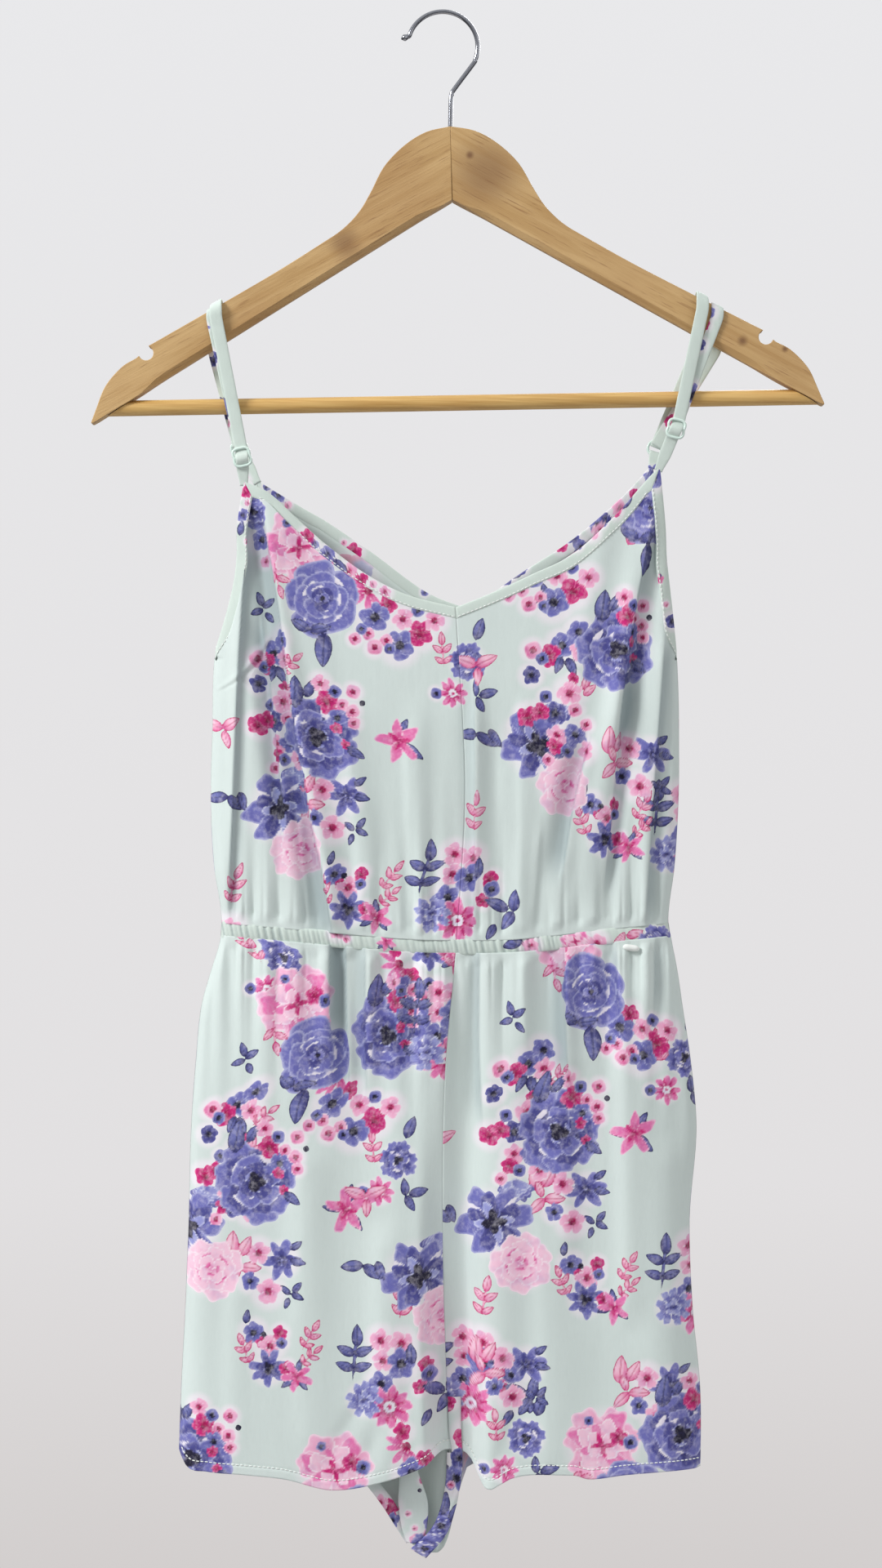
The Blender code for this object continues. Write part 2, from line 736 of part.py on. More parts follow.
def flat_outline(name, loops, thickness, collection):
    """Fill closed loops of (across, height) and give them a thickness along Y."""
    curve = bpy.data.curves.new(f"{name} outline", "CURVE")
    curve.dimensions = "2D"
    curve.fill_mode = "BOTH"
    curve.extrude = thickness / 2 * MM
    for loop in loops:
        spline = curve.splines.new("POLY")
        spline.points.add(len(loop) - 1)
        for point, (across, height) in zip(spline.points, loop):
            point.co = (across * MM, height * MM, 0.0, 1.0)
        spline.use_cyclic_u = True
    obj = bpy.data.objects.new(f"{name} outline", curve)
    collection.objects.link(obj)
    obj.rotation_euler = (math.radians(90.0), 0.0, 0.0)
    return mesh_from_curve(obj, name, collection)


def round_wire(name, points, radii, radius, collection):
    """A wire of round section through points in millimetres."""
    curve = bpy.data.curves.new(f"{name} path", "CURVE")
    curve.dimensions = "3D"
    curve.bevel_depth = radius * MM
    curve.bevel_resolution = 2
    curve.use_fill_caps = True
    spline = curve.splines.new("POLY")
    spline.points.add(len(points) - 1)
    for point, place, share in zip(spline.points, points, radii):
        point.co = (*(Vector(place) * MM), 1.0)
        point.radius = share
    obj = bpy.data.objects.new(f"{name} path", curve)
    collection.objects.link(obj)
    return mesh_from_curve(obj, name, collection)


def dress(obj, material, smooth=True):
    """Give an object its material and shading."""
    obj.data.materials.clear()
    obj.data.materials.append(material)
    if smooth:
        obj.data.shade_smooth()
        obj.data.set_sharp_from_angle(angle=math.radians(40.0))
    return obj


# ------------------------------------------------------------ hanger
def hanger_place(out, drop):
    """Turn a place in the hanger's own frame into (across, height)."""
    across = HANGER_CENTRE + out
    return (
        across * math.cos(HANGER_TILT) + drop * math.sin(HANGER_TILT),
        across * math.sin(HANGER_TILT) - drop * math.cos(HANGER_TILT),
    )


def arm_outline(side):
    """Closed outline of one arm, with its strap notch and rounded shoulder."""
    top = Outline(ARM_TOP)
    places = [tuple(top.at(share)) for share in even_shares(22)]
    for share in even_shares(8):
        angle = math.radians(NOTCH_START + NOTCH_SWEEP * share)
        places.append((NOTCH_OUT + NOTCH_RADIUS * math.cos(angle),
                       NOTCH_DROP - NOTCH_RADIUS * math.sin(angle)))
    places += list(ARM_END)
    places.append((SEAM_GAP / 2, ARM_INNER_DROP))
    places[0] = (SEAM_GAP / 2, ARM_TOP[0][1])
    return [hanger_place(side * out, drop) for out, drop in places]


def make_arm(name, side, material, collection):
    """One wooden arm with rounded edges."""
    arm = flat_outline(name, [arm_outline(side)], ARM_DEPTH, collection)
    dress(arm, material)
    rounding = arm.modifiers.new("rounded edges", "BEVEL")
    rounding.width = ARM_ROUND * MM
    rounding.segments = 2
    rounding.limit_method = "ANGLE"
    rounding.angle_limit = math.radians(50.0)
    return arm


def make_bar(material, collection, cutters):
    """The trouser bar, cut slanting under the two arms."""
    ends = [hanger_place(side * (HANGER_HALF - 2.0), BAR_DROP[k]) for k, side in ((0, -1), (1, 1))]
    start = Vector((ends[0][0], 0.0, ends[0][1]))
    stop = Vector((ends[1][0], 0.0, ends[1][1]))
    bpy.ops.mesh.primitive_cylinder_add(
        vertices=16, radius=BAR_RADIUS * MM, depth=(stop - start).length * MM)
    bar = bpy.context.object
    bar.name = "hanger_bar"
    bar.data.name = "hanger_bar"
    bar.matrix_world = (
        Matrix.Translation((start + stop) / 2 * MM)
        @ (stop - start).to_track_quat("Z", "Y").to_matrix().to_4x4()
    )
    for linked in list(bar.users_collection):
        linked.objects.unlink(bar)
    collection.objects.link(bar)
    for side in (-1, 1):
        near, far = 60.0, HANGER_HALF + 20.0
        loop = [
            (near, ARM_INNER_DROP + near * under_slope() + SEAM_GAP),
            (far, ARM_INNER_DROP + far * under_slope() + SEAM_GAP),
            (far, ARM_INNER_DROP),
            (near, ARM_INNER_DROP),
        ]
        places = [hanger_place(side * out, drop) for out, drop in loop]
        cutter = flat_outline("bar_cutter", [places], 4.0 * BAR_RADIUS, cutters)
        cutter.hide_render = True
        cutter.display_type = "WIRE"
        cut = bar.modifiers.new("cut under arm", "BOOLEAN")
        cut.operation = "DIFFERENCE"
        cut.solver = "EXACT"
        cut.object = cutter
    return dress(bar, material)


def under_slope():
    """Drop for each millimetre outwards along the arms' lower edge."""
    out, drop = ARM_END[-1]
    return (drop - ARM_INNER_DROP) / out


def make_hook(material, collection):
    """Steel wire: stem, lean to the right, ring and small ball end."""
    stem = hanger_place(0.0, ARM_TOP[0][1] - SEAM_GAP)
    centre_across, centre_drop = HOOK_CENTRE
    points = [(stem[0], 0.0, stem[1])]
    points += [(stem[0] + right, 0.0, -drop) for right, drop in HOOK_STEM]
    for share in even_shares(24):
        angle = math.radians(HOOK_START + HOOK_SWEEP * share)
        points.append((centre_across + HOOK_RADIUS * math.cos(angle), 0.0,
                       -centre_drop + HOOK_RADIUS * math.sin(angle)))
    radii = [1.0] * len(points)
    end = Vector(points[-1])
    for step, swell in enumerate(BALL_SWELLS):
        points.append(tuple(end + Vector((BALL_STEP[0], 0.0, BALL_STEP[1])) * (step + 1.5)))
        radii.append(swell)
    return dress(round_wire("hanger_hook", points, radii, WIRE_RADIUS, collection), material)


# ------------------------------------------------------------ straps
def strap_path(side, out, layer, front_end, back_end):
    """Centre line of a strap over an arm, from its front end to its back end.

    out is where it crosses the arm, layer counts the straps under it.
    """
    crest = hanger_place(side * out, smooth_table(ARM_TOP, out))
    under = hanger_place(side * out, ARM_INNER_DROP + out * under_slope())
    clear = STRAP_CLEAR + STRAP_WALL / 2 + layer * (STRAP_WALL + STRAP_CLEAR)
    corner = ARM_DEPTH / 2 - ARM_ROUND
    turn = ARM_ROUND + clear
    face = ARM_DEPTH / 2 + clear
    points = [Vector(front_end), Vector((crest[0], -face, crest[1] - ARM_DEPTH / 2))]
    for first, middle in ((180.0, -corner), (90.0, corner)):
        for share in even_shares(4):
            angle = math.radians(first - 90.0 * share)
            points.append(Vector((crest[0], middle + turn * math.cos(angle),
                                  crest[1] - ARM_ROUND + turn * math.sin(angle))))
    points.append(Vector((crest[0], face, under[1])))
    points.append(Vector(back_end))
    return points


def strap_surface(points, side, narrow_start=False, narrow_stop=False):
    """Ribbon surface along a path; its width follows the arm, then the lean.

    A sewn end narrows where it runs into the corner of the bodice.
    """
    path = np.array([tuple(point) for point in points])
    lengths = np.linalg.norm(np.diff(path, axis=0), axis=1)
    along = np.concatenate(([0.0], np.cumsum(lengths)))
    crest = 0.5 * (along[2] + along[-3])
    slope = -side * ARM_SLOPE + HANGER_TILT
    lean = -side * STRAP_LEAN

    def surface(share, across):
        place = along[-1] * share
        centre = Vector([float(np.interp(place, along, path[:, k])) for k in range(3)])
        near = 1.0 - ease(abs(place - crest), *STRAP_UNTWIST)
        angle = lean + (slope - lean) * near
        width = Vector((math.cos(angle), 0.0, math.sin(angle))) * STRAP_WIDTH
        if narrow_start:
            width *= 1.0 - SEWN_TAPER * (1.0 - ease(place, 0.0, SEWN_LENGTH))
        if narrow_stop:
            width *= 1.0 - SEWN_TAPER * (1.0 - ease(along[-1] - place, 0.0, SEWN_LENGTH))
        return centre + width * (across - 0.5)

    return surface, along / along[-1]


def ribbon(name, points, side, material, collection, sewn=False):
    """A strap as a flat ribbon with columns at its path's own points."""
    surface, shares = strap_surface(points, side, narrow_start=sewn)
    places = []
    for start, stop in zip(shares[:-1], shares[1:]):
        parts = 4 if stop - start > LONG_STRETCH else 1
        places += [start + (stop - start) * k / parts for k in range(parts)]
    places.append(1.0)
    return cloth_piece(name, surface, places, (0.0, 1.0), STRAP_WALL,
                       material, collection, middle=True)


def rounded_loop(width, height, radius, lean, centre, corner_steps=4):
    """Closed rounded rectangle, leaning about its centre, as (across, height)."""
    loop = []
    corners = ((1, 1, 0.0), (-1, 1, 90.0), (-1, -1, 180.0), (1, -1, 270.0))
    for x_sign, y_sign, first in corners:
        for share in even_shares(corner_steps):
            angle = math.radians(first + 90.0 * share)
            x = x_sign * (width / 2 - radius) + radius * math.cos(angle)
            y = y_sign * (height / 2 - radius) + radius * math.sin(angle)
            loop.append((centre[0] + x * math.cos(lean) - y * math.sin(lean),
                         centre[1] + x * math.sin(lean) + y * math.cos(lean)))
    return loop


def make_slider(name, side, place, depth, material, collection):
    """Plastic slider: a frame with two windows and a middle bar."""
    width, height = SLIDER_SIZE
    lean = -side * STRAP_LEAN
    window_width = width - 2.0 * SLIDER_RAIL
    window_height = (height - 3.0 * SLIDER_RAIL) / 2.0
    centre = (place[0], -place[1])
    loops = [rounded_loop(width, height, SLIDER_ROUND, lean, centre)]
    for step in (-1, 1):
        shift = step * (window_height + SLIDER_RAIL) / 2.0
        window = (centre[0] - shift * math.sin(lean), centre[1] + shift * math.cos(lean))
        loops.append(rounded_loop(window_width, window_height, WINDOW_ROUND, lean, window,
                                  corner_steps=2))
    slider = flat_outline(name, loops, SLIDER_WALL, collection)
    slider.location.y = -depth * MM
    return dress(slider, material)


def make_ring(name, place, depth, material, collection):
    """Plastic ring at the back, where the doubled strap turns."""
    loops = []
    for radius in (RING_RADIUS, RING_RADIUS - SLIDER_RAIL):
        loops.append([(place[0] + radius * math.cos(2.0 * math.pi * step / 16),
                       -place[1] + radius * math.sin(2.0 * math.pi * step / 16))
                      for step in range(16)])
    ring = flat_outline(name, loops, SLIDER_WALL, collection)
    ring.location.y = depth * MM
    return dress(ring, material)


def make_straps(cloth, plastic, collection):
    """Main and return strand, slider, ring and back tab on each side."""
    sides = (
        # name, side, slider, ring, front corner, back corner, main out, return out
        ("left", -1, LEFT_SLIDER, LEFT_RING, FRONT_NECK_LEFT[0], BACK_NECK_LEFT[0],
         *LEFT_STRAPS_OUT),
        ("right", 1, RIGHT_SLIDER, RIGHT_RING, FRONT_NECK_RIGHT[0], BACK_NECK_RIGHT[0],
         *RIGHT_STRAPS_OUT),
    )
    for name, side, slider, ring, front, back, main_out, return_out in sides:
        main = strap_path(
            side, main_out, 1,
            (slider[0], -MAIN_DEPTH, -slider[1]),
            (ring[0], MAIN_DEPTH, -ring[1]))
        corner = (front[0], -SIDE_DEPTH - CORNER_DEPTH + STRAP_WALL / 2, -front[1] + SEWN_CLEAR)
        main.insert(0, Vector(corner))
        ribbon(f"strap_{name}_main", main, side, cloth, collection, sewn=True)
        back_strand = strap_path(
            side, return_out, 0,
            (slider[0], -RETURN_DEPTH, -slider[1] + 2.0),
            (ring[0], RETURN_DEPTH, -ring[1] + 1.0))
        ribbon(f"strap_{name}_return", back_strand, side, cloth, collection)
        hard_depth = MAIN_DEPTH + (STRAP_WALL + SLIDER_WALL) / 2 + SEAM_GAP
        make_slider(f"slider_{name}", side, slider, hard_depth, plastic, collection)
        make_ring(f"ring_{name}", ring, hard_depth, plastic, collection)
        tab_depth = 0.85 * (SIDE_DEPTH + CORNER_DEPTH) - STRAP_WALL / 2
        tab = [
            Vector((ring[0], MAIN_DEPTH, -ring[1] - 2.4)),
            Vector(((ring[0] + back[0]) / 2, 0.5 * (MAIN_DEPTH + tab_depth),
                    -(ring[1] + back[1]) / 2 - 0.5)),
            Vector((back[0], tab_depth, -back[1] + SEWN_CLEAR)),
        ]
        surface, _ = strap_surface(tab, side, narrow_stop=True)
        cloth_piece(f"strap_tab_{name}", surface, even_shares(4), (0.0, 1.0), STRAP_WALL,
                    cloth, collection, middle=True)


# ------------------------------------------------------------ the garment
def make_bodice(cloth, collection):
    """Two fronts that meet at a centre seam, and one back."""
    for name, side in (("left", -1), ("right", 1)):
        cloth_piece(f"bodice_front_{name}", bodice_surface(side, back=False),
                    panel_columns(FRONT_COLUMNS), bodice_rows(), WALL, cloth, collection)
    half = [share / 2.0 for share in panel_columns(BACK_COLUMNS)]
    columns = half + [1.0 - share for share in half[-2::-1]]
    cloth_piece("bodice_back", whole_back_surface(), columns, bodice_rows(),
                WALL, cloth, collection)


def make_bindings(trim, collection):
    """Neck and armhole strips along the bodice's edges."""
    for place, back in (("front", False), ("back", True)):
        neck_columns = panel_columns(BACK_COLUMNS if back else FRONT_COLUMNS)
        for name, side in (("left", -1), ("right", 1)):
            armhole, neck = bound_edges(back)[side]
            cloth_piece(f"armhole_binding_{name}_{place}",
                        binding_surface(armhole, back, starts_on_seam=True),
                        (0.0, 0.0001) + ARMHOLE_SHARES, (0.0, 1.0), WALL, trim, collection)
            cloth_piece(f"neck_binding_{name}_{place}",
                        binding_surface(neck, back, starts_on_seam=False),
                        neck_columns, (0.0, 1.0), WALL, trim, collection)


def make_waist_and_shorts(cloth, trim, collection):
    """The casing and the four shorts panels under it."""
    half = [share / 2.0 for share in SIDE_SHARES]
    middle = even_shares(WAISTBAND_COLUMNS)[1:-1]
    band_columns = half + middle + [1.0 - share for share in half[::-1]]
    for name, back in (("front", False), ("back", True)):
        cloth_piece(f"waistband_{name}", waistband_surface(back), band_columns, (0.0, 1.0),
                    WAIST_WALL, trim, collection)
        count = SHORTS_BACK_COLUMNS if back else SHORTS_FRONT_COLUMNS
        for side_name, side in (("left", -1), ("right", 1)):
            cloth_piece(f"shorts_{name}_{side_name}", shorts_surface(side, back),
                        panel_columns(count), SHORTS_ROWS, WALL, cloth, collection)


def main():
    """Build every piece of the romper and its hanger."""
    clear_scene()
    parts = make_collection("romper_on_hanger")
    cutters = make_collection("cutters")
    cloth = make_material("printed cloth", CLOTH, 0.8)
    trim = make_material("mint trim", TRIM, 0.8)
    plastic = make_material("mint plastic", PLASTIC, 0.35)
    wood = make_material("oiled wood", WOOD, 0.45)
    bar_wood = make_material("pale dowel", BAR_WOOD, 0.5)
    steel = make_material("bright steel", STEEL, 0.15, metallic=1.0)
    make_arm("hanger_arm_left", -1, wood, parts)
    make_arm("hanger_arm_right", 1, wood, parts)
    make_bar(bar_wood, parts, cutters)
    make_hook(steel, parts)
    make_straps(trim, plastic, parts)
    make_bodice(cloth, parts)
    make_bindings(trim, parts)
    make_waist_and_shorts(cloth, trim, parts)


main()
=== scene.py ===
"""Looks of the strappy floral romper on its wooden hanger.

The garment's form is worked out from the same sizes as the part, more finely,
and the print, the folds, the gathers and the sewing are added to it. Sizes
are millimetres until they enter a mesh, which is in metres. "drop" is the
distance below the inside top of the hook.
"""

import logging
import math
from dataclasses import dataclass, replace
from enum import Enum
from typing import ClassVar

import bmesh
import bpy
import numpy as np
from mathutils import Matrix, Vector


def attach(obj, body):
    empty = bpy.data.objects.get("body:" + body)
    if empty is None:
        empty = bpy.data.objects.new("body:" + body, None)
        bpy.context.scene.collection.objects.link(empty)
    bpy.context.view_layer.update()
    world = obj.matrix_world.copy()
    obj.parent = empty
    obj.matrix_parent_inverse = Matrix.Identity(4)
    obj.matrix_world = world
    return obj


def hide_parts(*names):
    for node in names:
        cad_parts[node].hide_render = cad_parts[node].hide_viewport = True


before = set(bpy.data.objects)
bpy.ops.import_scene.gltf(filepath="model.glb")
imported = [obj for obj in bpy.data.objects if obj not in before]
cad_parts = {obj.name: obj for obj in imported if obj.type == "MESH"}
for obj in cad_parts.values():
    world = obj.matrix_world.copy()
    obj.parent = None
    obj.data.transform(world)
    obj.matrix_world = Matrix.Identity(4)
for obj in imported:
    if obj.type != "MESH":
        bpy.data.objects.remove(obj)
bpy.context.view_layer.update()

LOG = logging.getLogger("romper")
MM = 0.001
ROUND = 2.0 * math.pi       # a whole turn
ARM_SLOPE = math.radians(28.1)      # of the hanger's arms
SIDES = (("left", -1), ("right", 1))
FACES = (("front", False), ("back", True))
Array = np.ndarray
Colour = tuple[float, float, float]
Rows = tuple[tuple[float, ...], ...]
Material = bpy.types.Material
Object = bpy.types.Object


# ------------------------------------------------------------ small tools
def ease(value: Array | float, low: float, high: float) -> Array:
    """Rise smoothly from 0 at low to 1 at high."""
    t = np.clip((value - low) / (high - low), 0.0, 1.0)
    return t * t * (3.0 - 2.0 * t)


def linear(red: float, green: float, blue: float) -> Colour:
    """Turn an 8-bit display colour into scene-linear values."""
    shares = (red / 255.0, green / 255.0, blue / 255.0)
    return tuple(s / 12.92 if s <= 0.04045 else ((s + 0.055) / 1.055) ** 2.4 for s in shares)


def boxy(value: Array, power: float) -> Array:
    """Raise a sine's or a cosine's size to a power and keep its sign."""
    return np.sign(value) * np.abs(value) ** power


def bell(value: Array) -> Array:
    """Fall from 1 at 0 to nothing on both sides."""
    return np.exp(-(value ** 2))


def angles(count: int) -> Array:
    """Return even steps round a circle."""
    return np.linspace(0.0, ROUND, count, endpoint=False)


def unit(way: Array) -> Array:
    """Bring directions to length 1."""
    return way / np.linalg.norm(way, axis=-1, keepdims=True)


def travelled(points: Array) -> Array:
    """Return the distance walked from the first point to each one."""
    return np.concatenate(([0.0], np.cumsum(np.linalg.norm(np.diff(points, axis=0), axis=1))))


def between(points: Array, along: Array, places: Array) -> Array:
    """Read points at distances walked."""
    return np.stack([np.interp(places, along, column) for column in points.T], -1)


def stand(across: Array, depth: Array, drop: Array, back: bool = False) -> Array:
    """Set points off the middle plane, to the front or to the back."""
    return np.stack((across, depth if back else -depth, -drop), -1)


def spline(points: Array, steps: int) -> Array:
    """Run a smooth curve through points.

    Args:
        points: Points, two or three values a row.
        steps: Steps from each point to the next.

    Returns:
        The finer points.
    """
    padded = np.vstack((2 * points[0] - points[1], points, 2 * points[-1] - points[-2]))
    t = np.linspace(0.0, 1.0, steps, endpoint=False)[:, None]
    fine = [0.5 * (2 * b + (c - a) * t + (2 * a - 5 * b + 4 * c - d) * t**2
                   + (3 * b - a - 3 * c + d) * t**3)
            for a, b, c, d in zip(padded, padded[1:], padded[2:], padded[3:])]
    return np.vstack(fine + [padded[-2][None]])


def even_path(points: Array, step: float) -> Array:
    """Walk a smooth curve through points in even steps.

    Args:
        points: Points, two or three values a row.
        step: Length of a step.

    Returns:
        The new points.
    """
    fine = spline(np.asarray(points, dtype=float), 12)
    along = travelled(fine)
    count = max(int(round(along[-1] / step)), 2)
    return between(fine, along, np.linspace(0.0, along[-1], count + 1))


class Curve:
    """A table of rows read on a smooth curve that keeps to its own values."""

    def __init__(self, rows: Rows, column: int = 1) -> None:
        """Prepare the slopes.

        Args:
            rows: Rows whose first value is the place.
            column: Which value of a row is read.
        """
        table = np.array(sorted(rows), dtype=float)
        self.places, self.heights = table[:, 0], table[:, column]
        steps = np.diff(self.heights) / np.diff(self.places)
        before, after = np.append(steps[0], steps), np.append(steps, steps[-1])
        self.slopes = np.where(before * after <= 0.0, 0.0, 0.5 * (before + after))

    def __call__(self, value: Array | float) -> Array:
        """Read the curve.

        Args:
            value: Places to read at; past the ends the end values hold.

        Returns:
            The heights there.
        """
        value = np.clip(value, self.places[0], self.places[-1])
        i = np.searchsorted(self.places, value, side="right") - 1
        i = np.clip(i, 0, len(self.places) - 2)
        span = self.places[i + 1] - self.places[i]
        t = (value - self.places[i]) / span
        rise = ((2 * t**3 - 3 * t**2 + 1) * self.heights[i]
                + (3 * t**2 - 2 * t**3) * self.heights[i + 1])
        return rise + span * ((t**3 - 2 * t**2 + t) * self.slopes[i]
                              + (t**3 - t**2) * self.slopes[i + 1])


class Outline:
    """A smooth open curve through rows of (across, drop), read by its share."""

    def __init__(self, rows: Rows) -> None:
        """Walk the curve in fine steps.

        Args:
            rows: Points of (across, drop) in order.
        """
        self.points = spline(np.array(rows, dtype=float), 20)
        self.along = travelled(self.points)
        self.length = float(self.along[-1])

    def at(self, share: Array | float) -> Array:
        """Return (across, drop) at shares of the length."""
        return between(self.points, self.along, np.asarray(share) * self.length)

    def direction(self, share: Array | float) -> Array:
        """Return unit directions of travel at shares of the length."""
        return unit(self.at(np.minimum(share + 0.01, 1.0)) - self.at(np.maximum(share - 0.01, 0.0)))


BINDING_WIDTH = 7.0     # finished width of the neck and armhole bindings
TURN_LENGTH = 20.0      # how soon the armhole binding turns under the arm
BINDING_GAP = -1.3      # the panels run this far under the bindings
CASING_LAP = 1.6        # and this far under the casing
SEAM_GAP = 0.03


class BoundEdge:
    """A panel's edge and the strip of binding inside it."""

    def __init__(self, rows: Rows, inside: int, lead: Array, trail: Array) -> None:
        """Set up the strip.

        Args:
            rows: The finished edge.
            inside: 1 or -1, the side of the line of travel that the cloth is on.
            lead: Step into the panel at the start.
            trail: Step into the panel at the end.
        """
        self.edge, self.inside, self.lead, self.trail = Outline(rows), inside, lead, trail

    def ways(self, share: Array | float) -> tuple[Array, Array]:
        """Return unit directions along the edge and into the panel."""
        ahead = self.edge.direction(share)
        return ahead, np.stack((-ahead[..., 1], ahead[..., 0]), -1) * self.inside

    def place(self, share: Array, width: Array | float) -> Array:
        """Find points of the strip.

        Args:
            share: Shares of the edge's length.
            width: Binding widths inside the edge.

        Returns:
            Points of (across, drop).
        """
        share = np.asarray(share, dtype=float)
        (ahead, inward), (first, first_in) = self.ways(share), self.ways(0.0)
        slide = (1.0 - share) * (self.lead @ first) + share * (self.trail @ self.ways(1.0)[0])
        turn = 1.0 - ease(share * self.edge.length, 0.0, TURN_LENGTH)
        reach = BINDING_WIDTH + (self.lead @ first_in - BINDING_WIDTH) * turn
        step = ahead * slide[..., None] + inward * reach[..., None]
        return self.edge.at(share) + step * np.asarray(width)[..., None]

    def panel_edge(self, share: Array | float) -> Array:
        """Return (across, drop) of the panel's own edge beside the binding."""
        return self.place(share, 1.0 + BINDING_GAP / BINDING_WIDTH)


def corner_step(corner: tuple, first: tuple, second: tuple, hollow: bool = False) -> Array:
    """Find the step to where two strips of binding meet inside a corner.

    Args:
        corner: The corner of the edge, as (across, drop).
        first: A point along one edge.
        second: A point along the other.
        hollow: Whether the cloth lies on the corner's outside.

    Returns:
        The step of (across, drop).
    """
    ways = unit(np.array((first, second)) - np.array(corner))
    middle = unit(ways.sum(0))
    half = math.acos(float(middle @ ways[0]))
    return middle * BINDING_WIDTH / math.sin(half) * (-1.0 if hollow else 1.0)


# ------------------------------------------------------------ folds
@dataclass(frozen=True)
class Fold:
    """A crease in the cloth: a soft side, a steep side, what it hides, and the shade painted beside
    it.
    """

    line: Rows              # (across, drop) from its top to its foot
    soft: float             # reach of its soft side
    steep: float            # reach of its steep side
    tall: float             # height of its ridge, or a trough's depth if negative
    tuck: float = 0.0       # width of cloth that it hides
    faces: int = 1          # 1 if its soft side is on the right
    fade: ClassVar[tuple[float, float]] = (25.0, 30.0)      # how it fades at its ends

    def mirrored(self) -> "Fold":
        """Return the like fold on the back."""
        return replace(self, line=tuple((-x, z) for x, z in self.line), faces=-self.faces)

    def reach(self, across: Array, drop: Array) -> tuple[Array, Array]:
        """Measure places against the fold.

        Args:
            across: Places across.
            drop: Their drops.

        Returns:
            The signed distance from its line, and its strength there.
        """
        (_, top), (_, foot) = self.line[0], self.line[-1]
        line = Curve(tuple((z, x) for x, z in self.line))(drop)
        first, last = self.fade
        strength = (ease(drop, top - first * 0.4, top + first * 0.6)
                    * (1.0 - ease(drop, foot - last * 0.6, foot + last * 0.4)))
        return (across - line) * self.faces, strength

    def relief(self, away: Array, strength: Array) -> Array:
        """Find how far the fold raises the cloth, and sinks it beside its steep side.

        Args:
            away: Signed distances from its line.
            strength: Its strength there.

        Returns:
            Heights.
        """
        ridge, pocket = bell(away / np.where(away > 0.0, self.soft, self.steep)), 0.0
        if self.steep < 0.35 * self.soft:
            wide = 2.0 * self.steep + 0.55 * self.tuck
            pocket = 0.8 * bell((away + 1.1 * wide) / wide)
        return 1.25 * self.tall * strength * (ridge - pocket)

    def shadow(self, away: Array, strength: Array) -> Array:
        """Find the shade painted into the cloth's colour in the pocket beside the fold and along
        its edge.

        Args:
            away: Signed distances from its line.
            strength: Its strength there.

        Returns:
            Painted shade, from 0 to 1.
        """
        wide = 2.0 + 1.1 * self.tuck
        near = np.where(away < 0.0, bell((away + 0.35 * wide) / wide), 0.0)
        shade = np.maximum(0.85 * near, bell((away + 0.5) / 0.9))
        return np.clip(self.tall / 2.6, 0.3, 1.0) * strength * shade * (self.tuck > 0.0)

    def hidden(self, away: Array, strength: Array) -> Array:
        """Return the width of cloth hidden between this fold and the place."""
        return self.faces * self.tuck * strength * 0.5 * (np.tanh(away / 0.9) - 1.0)


